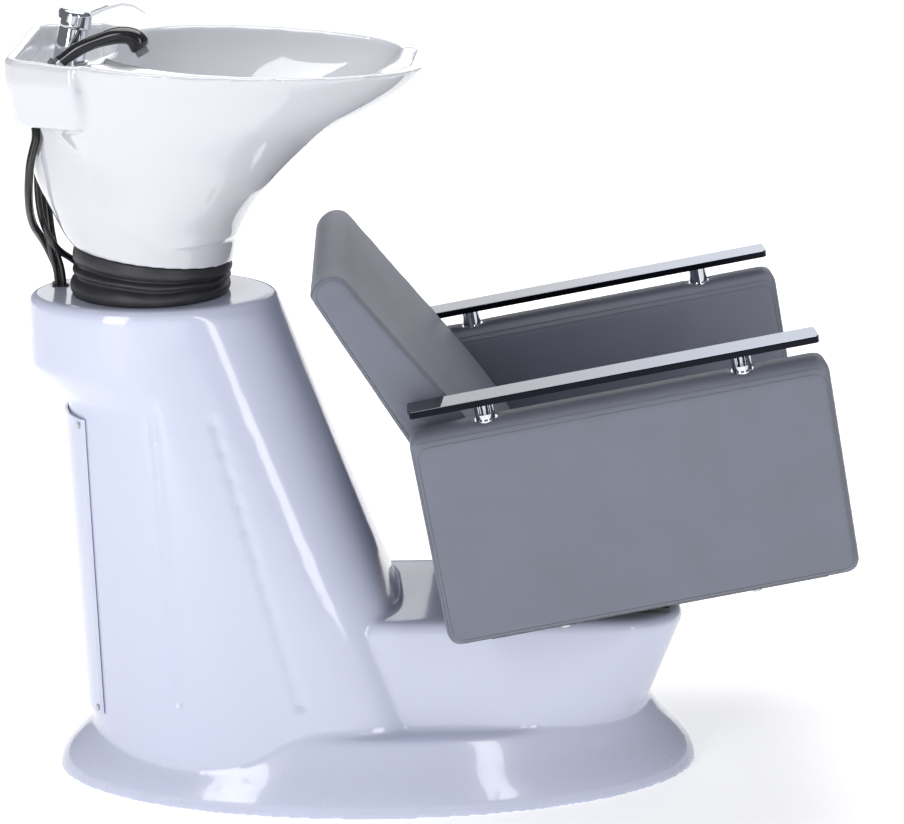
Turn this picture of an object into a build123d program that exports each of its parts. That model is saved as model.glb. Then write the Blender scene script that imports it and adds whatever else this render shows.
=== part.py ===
from build123d import *
import math
import os

# A salon backwash unit: a tilting ceramic basin on a moulded column, with a fixed shampoo chair.
# Frame: origin at the centre of the foot, on the floor. +X towards the sitter's knees, +Z up.
# The unit is built about the plane y = 0; the sitter's right is -Y. Millimetres throughout.

os.makedirs("parts", exist_ok=True)

OVERRUN = 2.0              # how far a cutter runs past the face that it opens
RUNNING_GAP = 0.05         # radial play of a pin that turns in its bore
SEAT_GAP = 0.3             # air between a soft or lifted piece and what carries it

# Moulded base: foot, column, head and plinth in one glass-fibre shell
SHELL_WALL = 5.0
FOOT_LENGTH = 916.0
FOOT_WIDTH = 444.0
FLARE_HEIGHT = 101.0
FLARE_RUN_X = 73.0
FLARE_RUN_Y = 37.0
FLARE_SHARES = [(0.0, 0.0), (0.08, 0.015), (0.30, 0.16), (0.54, 0.46), (0.78, 0.74), (1.0, 1.0)]

COLUMN_LOW_Z = 78.0
COLUMN_LOW_REAR = -408.5
COLUMN_LOW_FRONT = 97.7
COLUMN_LOW_HALF_WIDTH = 180.0
COLUMN_HIGH_Z = 672.0
COLUMN_HIGH_REAR = -433.0
COLUMN_HIGH_FRONT = -128.0
COLUMN_HIGH_HALF_WIDTH = 124.0
COLUMN_ROOT = 38.0         # how far the column carries on down inside the foot
# How full the column's front is: 2 is an ellipse, more is squarer
COLUMN_LOW_FULLNESS = 4.0
COLUMN_HIGH_FULLNESS = 2.2
COLUMN_FRONT_STEPS = 4     # points on each quarter of the front

HEAD_TOP_Z = 695.0
HEAD_CENTRE_X = -304.5
HEAD_HALF_LENGTH = 171.5
HEAD_HALF_WIDTH = 128.0
HEAD_BAND = 97.0           # height of the upright band round the head
HEAD_UNDERCUT = 46.0       # height of the slope from the band back to the column
HEAD_EDGE_RADIUS = 13.0

PLINTH_TOP_Z = 255.0
PLINTH_LOW_Z = 98.0
PLINTH_REAR = -100.0
PLINTH_TOP_FRONT = 433.0
PLINTH_LOW_FRONT = 385.0
PLINTH_TOP_HALF_WIDTH = 140.0
PLINTH_LOW_HALF_WIDTH = 155.0
PLINTH_TOP_CORNER = 72.0
PLINTH_LOW_CORNER_X = 250.0
PLINTH_LOW_CORNER_Y = 140.0
PLINTH_EDGE_RADIUS = 14.0
CORNER_FULLNESS_SHARE = 0.55

# Two shallow flutes pressed into each side of the column
FLUTE_DEPTH = 3.0
FLUTE_TOP_WIDTH = 11.0
FLUTE_LOW_WIDTH = 19.0
FLUTE_TOP_Z = 546.0
FLUTE_LOW_Z = 150.0
FLUTE_TOPS_X = (-300.5, -220.0)
FLUTE_LOWS_X = (-273.5, -108.0)

# Rear service opening and the plate that closes it
PANEL_LOW_Z = 100.0
PANEL_TOP_Z = 532.0
PANEL_HALF_WIDTH = 78.0
PANEL_THICKNESS = 4.0
PANEL_PROUD = 1.5
PANEL_LAP = 16.0           # how far the plate covers the edge of the opening
PANEL_SCREW_INSET = 9.0
PANEL_SCREW_HEAD_RADIUS = 4.5
PANEL_SCREW_HEAD_HEIGHT = 2.2
PANEL_SCREW_RADIUS = 2.1
PANEL_SEAL_PLAY = 0.2      # between the foam strip and the plate
PANEL_SCREW_LIFT = 0.2     # under the flat of the head on the curved plate

# Steel frame inside the base
FLOOR_PLATE_LENGTH = 660.0
FLOOR_PLATE_WIDTH = 250.0
FLOOR_PLATE_THICKNESS = 8.0
ANCHOR_SPACING_X = 560.0
ANCHOR_SPACING_Y = 200.0
ANCHOR_HOLE_RADIUS = 6.5
LEG_SIZE = 25.0
LEG_WALL = 2.5
LEG_OFFSET_X = 66.0
LEG_OFFSET_Y = 48.0
BRACE_HEIGHTS_Z = (360.0, 520.0)
HEAD_PLATE_RADIUS = 92.0
HEAD_PLATE_THICKNESS = 6.0
SEAT_POST_SIZE = 40.0
SEAT_POST_X = (210.0, 380.0)
SEAT_POST_Y = 70.0

# Tilt hinge between the column head and the basin
FOOT_RING_X = -304.0       # centre of the basin's foot
FOOT_RING_Z = 752.0
FOOT_NOSE_DOWN_DEG = 7.3
PIVOT_DROP = 26.0          # hinge axis below the basin's foot
TILT_PLATE_RADIUS = 84.0
TILT_PLATE_THICKNESS = 6.0
DRAIN_WAY_RADIUS = 38.0    # clear way for the waste hose through every plate
EAR_THICKNESS = 8.0
EAR_RADIUS = 12.5
EAR_OUTER_Y = 66.0         # inner face of the lower ears
TILT_WASHER_THICKNESS = 1.6
TILT_WASHER_RADIUS = 11.0
TILT_PIN_RADIUS = 6.0
TILT_PIN_HEAD_RADIUS = 9.0
TILT_PIN_HEAD_HEIGHT = 5.0
TILT_BOLT_X = 30.0
TILT_BOLT_Y = 62.0
TILT_BOLT_RADIUS = 3.9
TILT_BOLT_HEAD_RADIUS = 6.5
TILT_BOLT_HEAD_HEIGHT = 5.0
CARRIER_RADIUS = 90.0
CARRIER_THICKNESS = 6.0
GASKET_THICKNESS = 3.0
CARRIER_BOLT_CIRCLE_RADIUS = 80.0
CARRIER_BOLT_RADIUS = 3.9
CARRIER_BOLT_HEAD_RADIUS = 6.5
CARRIER_BOLT_HEAD_HEIGHT = 5.0

# Rubber bellows round the hinge
BELLOWS_CENTRE_X = -309.6
BELLOWS_PEAK_RADIUS = 110.0
BELLOWS_VALLEY_RADIUS = 100.5
BELLOWS_TOP_RADIUS = 108.5
BELLOWS_LOW_RADIUS = 105.7
BELLOWS_WALL = 2.6
BELLOWS_FOLDS = 4
FOLD_SHARES = [(0.0, 0.0), (0.30, 1.0), (0.62, 1.0), (0.92, 0.0)]
FOLDS_LOW_SHARE = 0.1
FOLDS_TOP_SHARE = 0.9
TOP_BAND_SHARE = 0.93

# Ceramic basin
BASIN_REAR_X = -477.0
BASIN_LENGTH = 544.0
BASIN_HALF_WIDTH = 245.0
BASIN_HEIGHT = 288.0       # foot to rim at the rear
RIM_FRONT_DROP = 24.0
BASIN_FLOOR_THICKNESS = 14.0
FOOT_LEDGE_RADIUS = 68.0
FOOT_LEDGE_THICKNESS = 12.0
FOOT_BORE_RADIUS = 95.0
# Plan of the rim from front centre to rear centre: the matching angle on an oval,
# then how far forward and how far out it lies as shares
PLAN_SHARES = [(0, 1.0, 0.0), (25, 0.988, 0.42), (41, 0.93, 0.648), (59, 0.79, 0.85), (75, 0.64, 0.965),
               (92, 0.486, 1.0), (113, 0.30, 0.95), (142, 0.10, 0.66), (180, 0.0, 0.0)]
# Funnel outside: height, rear, front and half width as shares, and how far the plan has
# gone from a plain oval to the rim's
FUNNEL_SHARES = [
    (0.085, 0.185, 0.536, 0.455, 0.0),
    (0.210, 0.143, 0.572, 0.53, 0.0),
    (0.339, 0.119, 0.625, 0.60, 0.0),
    (0.485, 0.096, 0.704, 0.665, 0.05),
    (0.610, 0.064, 0.800, 0.76, 0.15),
    (0.729, 0.035, 0.910, 0.845, 0.4),
    (0.864, 0.017, 0.990, 0.94, 0.8),
    (1.035, 0.006, 1.000, 1.00, 1.0),
]
# Bowl inside, in the same shares
HOLLOW_SHARES = [
    (0.207, 0.243, 0.408, 0.17, 0.0),
    (0.261, 0.219, 0.487, 0.32, 0.0),
    (0.373, 0.208, 0.601, 0.457, 0.0),
    (0.485, 0.204, 0.669, 0.584, 0.05),
    (0.610, 0.202, 0.763, 0.686, 0.15),
    (0.729, 0.202, 0.869, 0.776, 0.4),
    (0.864, 0.204, 0.943, 0.873, 0.8),
    (1.060, 0.208, 0.972, 0.947, 1.0),
]
# Upright pedestal behind the funnel: height, rear, front and half width, all as basin shares
PEDESTAL_SHARES = [
    (0.0, 0.115, 0.521, 0.453),
    (0.064, 0.093, 0.527, 0.459),
    (0.153, 0.076, 0.533, 0.467),
    (0.237, 0.060, 0.533, 0.478),
    (0.363, 0.032, 0.520, 0.482),
    (0.525, 0.018, 0.510, 0.486),
    (0.671, 0.011, 0.500, 0.490),
]

# Tap deck at the rear of the basin
DECK_SKIRT_Z = 943.0
DECK_FLOOR_Z = 1008.0
DECK_FLOOR_THICKNESS = 14.0
DECK_FRONT_X = -366.0
DECK_WALL = 14.0
DECK_REAR_HALF_WIDTH = 148.0
DECK_MID_X = -463.0
DECK_MID_HALF_WIDTH = 171.0
DECK_SIDE_X = -384.0
DECK_SIDE_HALF_WIDTH = 208.0
DECK_ROOT_X = -330.0
DECK_ROOT_HALF_WIDTH = 150.0
DECK_LOW_REAR_X = -471.0
DECK_LOW_HALF_WIDTH_SHARE = 0.76
DECK_CORNER_SHARE = 0.7    # how much of the wall the slanting corner takes lengthwise
HOSE_BAY_REAR_X = -463.0
HOSE_BAY_FRONT_X = -381.0
HOSE_BAY_HALF_WIDTH = 118.0
HOSE_EXIT_PLAY = 4.0       # room round each hose where it leaves the bay
HOSE_EXIT_LOW_Z = 862.0

# Neck rest: a saddle across the front lip
NECK_RADIUS = 105.0
NECK_LOW_Z = 981.0
NECK_REST_X = -33.0        # inner edge of the rest, on the middle plane
NECK_REST_ROOT_X = 54.0    # where its curved edge runs into the bowl's front
NECK_REST_HALF_WIDTH = 80.0
NECK_SLOPE_DEG = 4.0

# Waste: strainer, tail, hose, trap and spigot
DRAIN_X = -300.0
DRAIN_HOLE_RADIUS = 22.0
STRAINER_RADIUS = 34.0
STRAINER_THICKNESS = 2.0
STRAINER_HUB_RADIUS = 6.0
STRAINER_BAR = 3.0
CATCHER_RADIUS = 18.5
CATCHER_DEPTH = 9.0
CATCHER_WALL = 1.2
CATCHER_KNOB_RADIUS = 4.0
CATCHER_KNOB_HEIGHT = 9.0
CATCHER_LIP = 2.0
CATCHER_SLOTS = 8
CATCHER_SLOT_WIDTH = 2.2
CATCHER_SLOT_END_SHARE = 0.8
CATCHER_SLOT_START_SHARE = 1.6
DRAIN_TAIL_RADIUS = 21.6
DRAIN_TAIL_WALL = 2.4
DRAIN_TAIL_LENGTH = 46.0
DRAIN_NUT_RADIUS = 31.0
DRAIN_NUT_HEIGHT = 10.0
WASTE_HOSE_RADIUS = 19.0
WASTE_HOSE_WALL = 2.0
TRAP_RADIUS = 34.0
TRAP_HEIGHT = 95.0
TRAP_LOW_Z = 100.0
TRAP_WALL = 3.0
SPIGOT_RADIUS = 20.0
SPIGOT_WALL = 2.0
SPIGOT_LENGTH = 60.0
SPIGOT_LOW_Z = 12.0
SPIGOT_X = -205.0
TRAP_PIPE_RADIUS = 23.0    # the trap's side arm, whose end stops a pipe pushed onto the spigot

# Mixer tap
MIXER_X = -410.0
MIXER_Y = 4.0
MIXER_LEAN_DEG = 10.0
MIXER_BASE_RADIUS = 22.0
MIXER_NECK_RADIUS = 19.2
MIXER_BODY_HEIGHT = 50.0
MIXER_DOME_RADIUS = 18.6
MIXER_SHANK_RADIUS = 14.0
MIXER_HOLE_RADIUS = 15.5
MIXER_NUT_RADIUS = 21.0
MIXER_NUT_HEIGHT = 8.0
MIXER_RING_RADIUS = 25.5
MIXER_RING_HEIGHT = 3.0
SPINDLE_RADIUS = 5.0
SPINDLE_DEPTH = 34.0
DOME_SINK = 4.0            # how far the dome's centre stands above the body's top
LEVER_PIN_RADIUS = 1.6
HUB_RADIUS = 22.8
HUB_GAP = 0.5
HUB_TOP = 21.0
HUB_SKIRT = 3.4
HUB_RAKE_DEG = 15.0
BLADE_WIDTH = 15.0
BLADE_REACH = 92.0
BLADE_RISE = 20.0
# Blade in side view: how far out and how far above the hub's top, as shares
BLADE_TOP_SHARES = [(0.0, -0.1), (0.22, 0.0), (0.45, 0.62), (0.66, 1.0), (0.82, 1.0), (1.0, 0.62)]
BLADE_LOW_SHARES = [(0.0, -0.45), (0.2, -0.45), (0.45, 0.35), (0.66, 0.82), (0.82, 0.84), (1.0, 0.50)]

# Pull-out hand spray
SPRAY_X = -425.0
SPRAY_Y = -37.0
SPRAY_LEAN_DEG = 45.0      # holder axis, from upright towards the sitter
SPRAY_HOLDER_RADIUS = 13.5
SPRAY_HOLDER_HEIGHT = 6.0
SPRAY_SHANK_RADIUS = 9.5
SPRAY_SHANK_LENGTH = 33.0
SPRAY_BORE_RADIUS = 6.6
SPRAY_NUT_RADIUS = 14.0
SPRAY_NUT_LENGTH = 30.0
FERRULE_RADIUS = 9.4
FERRULE_LENGTH = 7.0
SPRAY_BODY_RADIUS = 11.0
SPRAY_REACH = 102.0
# Spray centreline from the ferrule: how far forward, how far up, and how thick, as shares
SPRAY_LINE_SHARES = [(0.0, 0.0, 0.80), (0.14, 0.10, 0.82), (0.30, 0.19, 0.84), (0.57, 0.29, 0.90),
                     (0.80, 0.335, 1.05), (0.95, 0.30, 1.18), (1.03, 0.16, 1.08)]
NOZZLE_RADIUS = 9.0
NOZZLE_LENGTH = 9.0
NOZZLE_HOLES = 8
NOZZLE_RING_SHARE = 0.6
NOZZLE_HOLE_SHARE = 0.12

# Hoses
SPRAY_HOSE_RADIUS = 5.7
MIXER_HOSE_RADIUS = 4.8
SUPPLY_HOSE_RADIUS = 3.8
HOSE_WALL = 1.4
SHORTER_RUN_SHARE = 0.45   # how much of the shorter run a bend takes
GROMMET_WALL = 1.5
GROMMET_FLANGE = 2.0
GROMMET_LIP = 1.5
VALVE_RADIUS = 12.0
VALVE_HEIGHT = 66.0
VALVE_LOW_Z = 118.0
VALVE_X = -365.0
VALVE_Y = 22.0
VALVE_SHELF_Z = 140.0
VALVE_SHELF_THICKNESS = 4.0
VALVE_SHELF_FRONT_X = -344.0
VALVE_KNOB_RADIUS = 7.0
VALVE_KNOB_LENGTH = 16.0
INLET_RADIUS = 8.3
INLET_DEPTH = 15.0
HOSE_NUT_RADIUS = 8.5
HOSE_NUT_HEIGHT = 14.0
UNION_RADIUS = 9.0
UNION_LENGTH = 38.0

# Chair. Its own axes: U along the seat towards the knees, W square to it, both tilted back
SEAT_TILT_DEG = 10.7
ARM_REAR_U = 143.5
ARM_FRONT_U = 698.0
ARM_LOW_W = 248.0
ARM_TOP_W = 547.0
ARM_INNER_Y = 220.0
ARM_THICKNESS = 60.0
ARM_TOP_ROUND = 26.0
ARM_EDGE_ROUND = 10.0
ARM_CORNER_ROUND = 20.0
ARM_CORE_THICKNESS = 22.0
ARM_CORE_INSET = 22.0
ARM_COVER = 4.0            # padding under the core's lower edge

RAIL_REAR_U = 149.0
RAIL_FRONT_U = 691.0
RAIL_LOW_W = 567.0
RAIL_THICKNESS = 9.5
RAIL_WIDTH = 50.0
RAIL_CORNER = 6.0
POST_U = (248.0, 588.0)
POST_RADIUS = 13.0
POST_CUP_RADIUS = 9.0
POST_FLANGE_RADIUS = 17.0
POST_FLANGE_HEIGHT = 3.0
POST_SINK = 6.0            # how deep the post's flange sits in the upholstery
POST_WINDOW = 15.0
POST_WINDOW_SILL = 4.0
POST_STUD_RADIUS = 4.0
POST_STUD_BITE = 4.0       # how far the stud goes into the rail
POST_STUD_DEPTH = 30.0     # how far the stud goes into the core

SEAT_FRONT_U = 690.0
SEAT_TOP_W = 360.0
SEAT_CROWN = 16.0
SEAT_NOSE_ROUND = 26.0
SEAT_SIDE_GAP = 1.5
SEAT_REAR_U = 302.0
SEAT_BOARD_THICKNESS = 15.0
SEAT_BOARD_HALF_WIDTH = 200.0
SEAT_PAN_THICKNESS = 4.0
SEAT_PAN_HALF_WIDTH = 262.0
SEAT_PAN_REAR_U = 200.0
SEAT_PAN_FRONT_U = 655.0

BACK_HALF_WIDTH = 217.0
BACK_LOW_W = 264.5
BACK_REAR_LOW_U = 245.5
BACK_REAR_TOP_U = 52.4
BACK_REAR_TOP_W = 738.0
# Front of the backrest from its crest down to the seat, as (U, W) points
BACK_FRONT_LINE = [(62.0, 752.0), (84.0, 760.0), (101.8, 751.8), (158.0, 652.0), (211.4, 558.5),
                   (262.0, 462.0), (284.0, 405.0), (296.0, 340.0), (299.0, 264.5)]
BACK_BOARD_THICKNESS = 14.0
BACK_BOARD_COVER = 14.0    # padding between the board and the rear face
BACK_BOARD_SIDE = 40.0
BACK_BOARD_LOW_W = 271.0
BACK_BOARD_TOP_W = 694.0
STAY_WIDTH = 34.0
STAY_THICKNESS = 5.0
STAY_Y = 120.0
STAY_TOP_W = 480.0
STAY_FOOT_REAR_U = 228.0
STAY_SCREW_RADIUS = 2.4
STAY_SCREW_HEAD_RADIUS = 4.6
STAY_SCREW_HEAD_HEIGHT = 2.4
STAY_SCREW_LENGTH = 12.0
STAY_FOOT_SCREWS_U = (240.0, 262.0)
STAY_SCREWS_W = (330.0, 440.0)

BRACKET_REAR_X = 175.0
BRACKET_FRONT_X = 405.0
BRACKET_HALF_WIDTH = 105.0
BRACKET_PLATE = 6.0
BRACKET_WEB_Y = (-52.0, 0.0, 52.0)
BRACKET_BOLT_X = (200.0, 390.0)
BRACKET_BOLT_Y = 85.0
FRAME_BOLT_RADIUS = 4.9
FRAME_BOLT_HEAD_RADIUS = 8.0
FRAME_BOLT_HEAD_HEIGHT = 5.5
PAN_BOLT_U = (262.0, 432.0)
PAN_BOLT_Y = 85.0
ARM_BOLT_U = (300.0, 560.0)
ARM_BOLT_DEPTH = 34.0
ARM_BOLT_RADIUS = 3.9
ARM_BOLT_HEAD_RADIUS = 6.5
ARM_BOLT_HEAD_HEIGHT = 5.0
BOLT_PLAY = 0.6            # between a bolt head and the board that is bored for it

RING_CENTRE = (FOOT_RING_X, 0, FOOT_RING_Z)
NOSE_SIN = math.sin(math.radians(FOOT_NOSE_DOWN_DEG))
NOSE_COS = math.cos(math.radians(FOOT_NOSE_DOWN_DEG))
PIVOT_X = FOOT_RING_X - PIVOT_DROP * NOSE_SIN
PIVOT_Z = FOOT_RING_Z - PIVOT_DROP * NOSE_COS
FOOT_PLANE = Plane(origin=RING_CENTRE, x_dir=(NOSE_COS, 0, -NOSE_SIN), z_dir=(NOSE_SIN, 0, NOSE_COS))

SEAT_SIN = math.sin(math.radians(SEAT_TILT_DEG))
SEAT_COS = math.cos(math.radians(SEAT_TILT_DEG))
CHAIR_PLANE = Plane(origin=(0, 0, 0), x_dir=(SEAT_COS, 0, SEAT_SIN), z_dir=(-SEAT_SIN, 0, SEAT_COS))
SIDES = (-1, 1)


def block(x_from, x_to, y_from, y_to, z_from, z_to):
    """A box between two corners."""
    size = (x_to - x_from, y_to - y_from, z_to - z_from)
    return Pos((x_from + x_to) / 2, (y_from + y_to) / 2, (z_from + z_to) / 2) * Box(*size)


def rod(x, y, z_from, z_to, radius):
    """An upright cylinder between two heights."""
    return Pos(x, y, (z_from + z_to) / 2) * Cylinder(radius, z_to - z_from)


def tube(x, y, z_from, z_to, radius, bore):
    """An upright pipe."""
    return rod(x, y, z_from, z_to, radius) - rod(x, y, z_from - OVERRUN, z_to + OVERRUN, bore)


def cross_rod(x, z, y_from, y_to, radius):
    """A cylinder along Y between two places."""
    return Pos(x, (y_from + y_to) / 2, z) * Rot(90, 0, 0) * Cylinder(radius, y_to - y_from)


def ellipse_at(plane, centre_x, half_length, half_width):
    """An elliptical section on a plane."""
    return plane * Pos(centre_x, 0, 0) * Ellipse(half_length, half_width).face()


def level(z):
    """The horizontal plane at a height."""
    return Plane(origin=(0, 0, z))


def side_face(points):
    """A face in the plane y = 0 from (x, z) points."""
    corners = [(x, 0, z) for x, z in points]
    return make_face(Polyline(*corners, close=True))


def side_slab(points, y_from, y_to):
    """A side profile given as (x, z) points, thickened between two Y places."""
    return extrude(Pos(0, y_from, 0) * side_face(points), amount=y_to - y_from, dir=(0, 1, 0))


# Moulded base

def foot_form(grow):
    """The oval foot with its flare, grown or shrunk by a wall."""
    sections = []
    for height_share, run_share in FLARE_SHARES:
        z = height_share * (FLARE_HEIGHT + grow)
        half_length = FOOT_LENGTH / 2 - run_share * FLARE_RUN_X + grow
        half_width = FOOT_WIDTH / 2 - run_share * FLARE_RUN_Y + grow
        sections.append(ellipse_at(level(z), 0, half_length, half_width))
    return loft(sections)


def column_section(z, grow):
    """The column's ellipse at a height: centre, half length and half width."""
    share = (z - COLUMN_LOW_Z) / (COLUMN_HIGH_Z - COLUMN_LOW_Z)
    rear = COLUMN_LOW_REAR + share * (COLUMN_HIGH_REAR - COLUMN_LOW_REAR)
    front = COLUMN_LOW_FRONT + share * (COLUMN_HIGH_FRONT - COLUMN_LOW_FRONT)
    half_width = COLUMN_LOW_HALF_WIDTH + share * (COLUMN_HIGH_HALF_WIDTH - COLUMN_LOW_HALF_WIDTH)
    return (rear + front) / 2, (front - rear) / 2 + grow, half_width + grow


def column_face(z, grow):
    """The column's section: half an ellipse behind, a fuller curve in front."""
    centre, half_length, half_width = column_section(z, grow)
    share = (z - COLUMN_LOW_Z) / (COLUMN_HIGH_Z - COLUMN_LOW_Z)
    fullness = COLUMN_LOW_FULLNESS + share * (COLUMN_HIGH_FULLNESS - COLUMN_LOW_FULLNESS)
    front = []
    for step in range(-COLUMN_FRONT_STEPS, COLUMN_FRONT_STEPS + 1):
        turn = math.pi / 2 * step / COLUMN_FRONT_STEPS
        along = abs(math.cos(turn)) ** (2 / fullness)
        out = math.copysign(abs(math.sin(turn)) ** (2 / fullness), turn)
        front.append((centre + half_length * along, half_width * out))
    front[0] = (centre, -half_width)
    front[-1] = (centre, half_width)
    edges = [
        Spline(*front, tangents=[(1, 0), (-1, 0)]),
        EllipticalCenterArc((centre, 0), half_length, half_width, 90, arc_size=180),
    ]
    return level(z) * make_face(Wire(edges))


def column_form(grow, z_from, z_to):
    """The leaning column between two heights."""
    return loft([column_face(z, grow) for z in (z_from, z_to)], ruled=True)


def head_form(grow):
    """The head: a slope out from the column, then an upright band."""
    band_z = HEAD_TOP_Z - HEAD_BAND
    lower = ellipse_at(level(band_z - HEAD_UNDERCUT), *column_section(band_z - HEAD_UNDERCUT, grow - OVERRUN))
    upper = ellipse_at(level(band_z), HEAD_CENTRE_X, HEAD_HALF_LENGTH + grow, HEAD_HALF_WIDTH + grow)
    band = extrude(upper, amount=HEAD_BAND + grow)
    return loft([lower, upper], ruled=True) + band


def plinth_section(z, grow, front, half_width, corner_x, corner_y):
    """A plinth section: straight rear and sides, rounded front corners."""
    front = front + grow
    side = half_width + grow
    shoulder = front - corner_x
    flat = side - corner_y
    pull_x = corner_x * CORNER_FULLNESS_SHARE
    pull_y = corner_y * CORNER_FULLNESS_SHARE
    edges = [
        Line((PLINTH_REAR, -side), (shoulder, -side)),
        Bezier((shoulder, -side), (shoulder + pull_x, -side), (front, -flat - pull_y), (front, -flat)),
        Line((front, -flat), (front, flat)),
        Bezier((front, flat), (front, flat + pull_y), (shoulder + pull_x, side), (shoulder, side)),
        Line((shoulder, side), (PLINTH_REAR, side)),
        Line((PLINTH_REAR, side), (PLINTH_REAR, -side)),
    ]
    return level(z) * make_face(Wire(edges))


def plinth_form(grow):
    """The seat plinth, wider along its top than at its root."""
    low = (PLINTH_LOW_FRONT, PLINTH_LOW_HALF_WIDTH, PLINTH_LOW_CORNER_X, PLINTH_LOW_CORNER_Y)
    top = (PLINTH_TOP_FRONT, PLINTH_TOP_HALF_WIDTH, PLINTH_TOP_CORNER, PLINTH_TOP_CORNER)
    root = extrude(plinth_section(COLUMN_ROOT, grow, *low), amount=PLINTH_LOW_Z - COLUMN_ROOT)
    upper = plinth_section(PLINTH_TOP_Z + grow, grow, *top)
    return root + loft([plinth_section(PLINTH_LOW_Z, grow, *low), upper], ruled=True)


def rounded_top(form, z, radius):
    """Round the edges of the flat top at a height."""
    edges = [edge for edge in form.edges()
             if abs(edge.center().Z - z) < SEAT_GAP and edge.bounding_box().size.Z < SEAT_GAP]
    return fillet(edges, radius)


def base_outside():
    """The outside of the whole moulding."""
    head = rounded_top(head_form(0), HEAD_TOP_Z, HEAD_EDGE_RADIUS)
    plinth = plinth_form(0)
    front_edges = [edge for edge in plinth.edges() if abs(edge.center().Z - PLINTH_TOP_Z) < SEAT_GAP
                   and edge.bounding_box().max.X > 0]
    plinth = fillet(front_edges, PLINTH_EDGE_RADIUS)
    column = column_form(0, COLUMN_ROOT, HEAD_TOP_Z - HEAD_EDGE_RADIUS)
    return foot_form(0) + column + head + plinth


def base_inside():
    """The hollow of the moulding, open to the floor."""
    column = column_form(-SHELL_WALL, COLUMN_ROOT, HEAD_TOP_Z - SHELL_WALL - HEAD_EDGE_RADIUS)
    mouth = extrude(ellipse_at(level(-OVERRUN), 0, FOOT_LENGTH / 2 - SHELL_WALL, FOOT_WIDTH / 2 - SHELL_WALL),
                    amount=OVERRUN)
    return foot_form(-SHELL_WALL) + mouth + column + head_form(-SHELL_WALL) + plinth_form(-SHELL_WALL)


def flute(side, top_x, low_x):
    """One tapered flute, as the cutter that presses it into the column."""
    top = FLUTE_TOP_WIDTH / 2
    low = FLUTE_LOW_WIDTH / 2
    slab = side_slab([(top_x - top, FLUTE_TOP_Z), (top_x + top, FLUTE_TOP_Z),
                      (low_x + low, FLUTE_LOW_Z), (low_x - low, FLUTE_LOW_Z)], 0, COLUMN_LOW_HALF_WIDTH)
    slab = slab + cross_rod(top_x, FLUTE_TOP_Z, 0, COLUMN_LOW_HALF_WIDTH, top)
    slab = slab + cross_rod(low_x, FLUTE_LOW_Z, 0, COLUMN_LOW_HALF_WIDTH, low)
    if side < 0:
        slab = mirror(slab, Plane.XZ)
    return slab


def base_shell():
    """The glass-fibre moulding with its flutes, rear opening and holes."""
    shell = base_outside()
    pressed = column_form(-FLUTE_DEPTH, COLUMN_ROOT, HEAD_TOP_Z - HEAD_BAND)
    for side in SIDES:
        for top_x, low_x in zip(FLUTE_TOPS_X, FLUTE_LOWS_X):
            shell = shell - (flute(side, top_x, low_x) - pressed)
    shell = shell - base_inside()
    opening = block(BASIN_REAR_X, HEAD_CENTRE_X, PANEL_LAP - PANEL_HALF_WIDTH, PANEL_HALF_WIDTH - PANEL_LAP,
                    PANEL_LOW_Z + PANEL_LAP, PANEL_TOP_Z - PANEL_LAP)
    shell = shell - opening
    for x, y, radius in head_holes():
        shell = shell - rod(x, y, HEAD_TOP_Z - SHELL_WALL - OVERRUN, HEAD_TOP_Z + OVERRUN, radius)
    for x, y in plinth_bolt_places():
        shell = shell - rod(x, y, PLINTH_TOP_Z - SHELL_WALL - OVERRUN, PLINTH_TOP_Z + OVERRUN,
                            FRAME_BOLT_RADIUS)
    for x, _, z, nose in panel_screw_places():
        shell = shell - nose
    return shell


def head_holes():
    """Holes through the head: waste way, bolts and hoses, each with its radius."""
    holes = [(PIVOT_X, 0, DRAIN_WAY_RADIUS)]
    holes += [(x, y, TILT_BOLT_RADIUS) for x, y in tilt_bolt_places()]
    holes += [(x, y, hose + GROMMET_WALL) for x, y, hose in grommet_places()]
    return holes


def plinth_bolt_places():
    return [(x, side * BRACKET_BOLT_Y) for x in BRACKET_BOLT_X for side in SIDES]


def tilt_bolt_places():
    return [(PIVOT_X + side_x * TILT_BOLT_X, side * TILT_BOLT_Y) for side_x in SIDES for side in SIDES]


def panel_screw_places():
    """Each screw's place on the column, with the rod of its shank."""
    places = []
    for z in (PANEL_LOW_Z + PANEL_SCREW_INSET, PANEL_TOP_Z - PANEL_SCREW_INSET):
        centre, half_length, half_width = column_section(z, 0)
        for side in SIDES:
            y = side * (PANEL_HALF_WIDTH - PANEL_SCREW_INSET)
            turn = math.asin(y / half_width)
            x = centre - half_length * math.cos(turn)
            lean = math.degrees(math.atan2(y / half_width ** 2, -(x - centre) / half_length ** 2))
            spot = Pos(x, y, z) * Rot(0, 0, -lean) * Rot(0, -90, 0)
            shank_from = -SHELL_WALL - OVERRUN
            shank_to = PANEL_PROUD + PANEL_THICKNESS + OVERRUN
            shank = spot * Pos(0, 0, (shank_from + shank_to) / 2) * Cylinder(PANEL_SCREW_RADIUS,
                                                                             shank_to - shank_from)
            places.append((spot, y, z, shank))
    return places


def service_panel():
    """The curved plate that closes the rear opening, standing proud of the column."""
    outer = column_form(PANEL_PROUD + PANEL_THICKNESS, PANEL_LOW_Z - OVERRUN, PANEL_TOP_Z + OVERRUN)
    inner = column_form(PANEL_PROUD, PANEL_LOW_Z - PANEL_LAP, PANEL_TOP_Z + PANEL_LAP)
    window = block(BASIN_REAR_X, HEAD_CENTRE_X, -PANEL_HALF_WIDTH, PANEL_HALF_WIDTH, PANEL_LOW_Z, PANEL_TOP_Z)
    plate = (outer - inner) & window
    for _, _, _, shank in panel_screw_places():
        plate = plate - shank
    return plate


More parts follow.
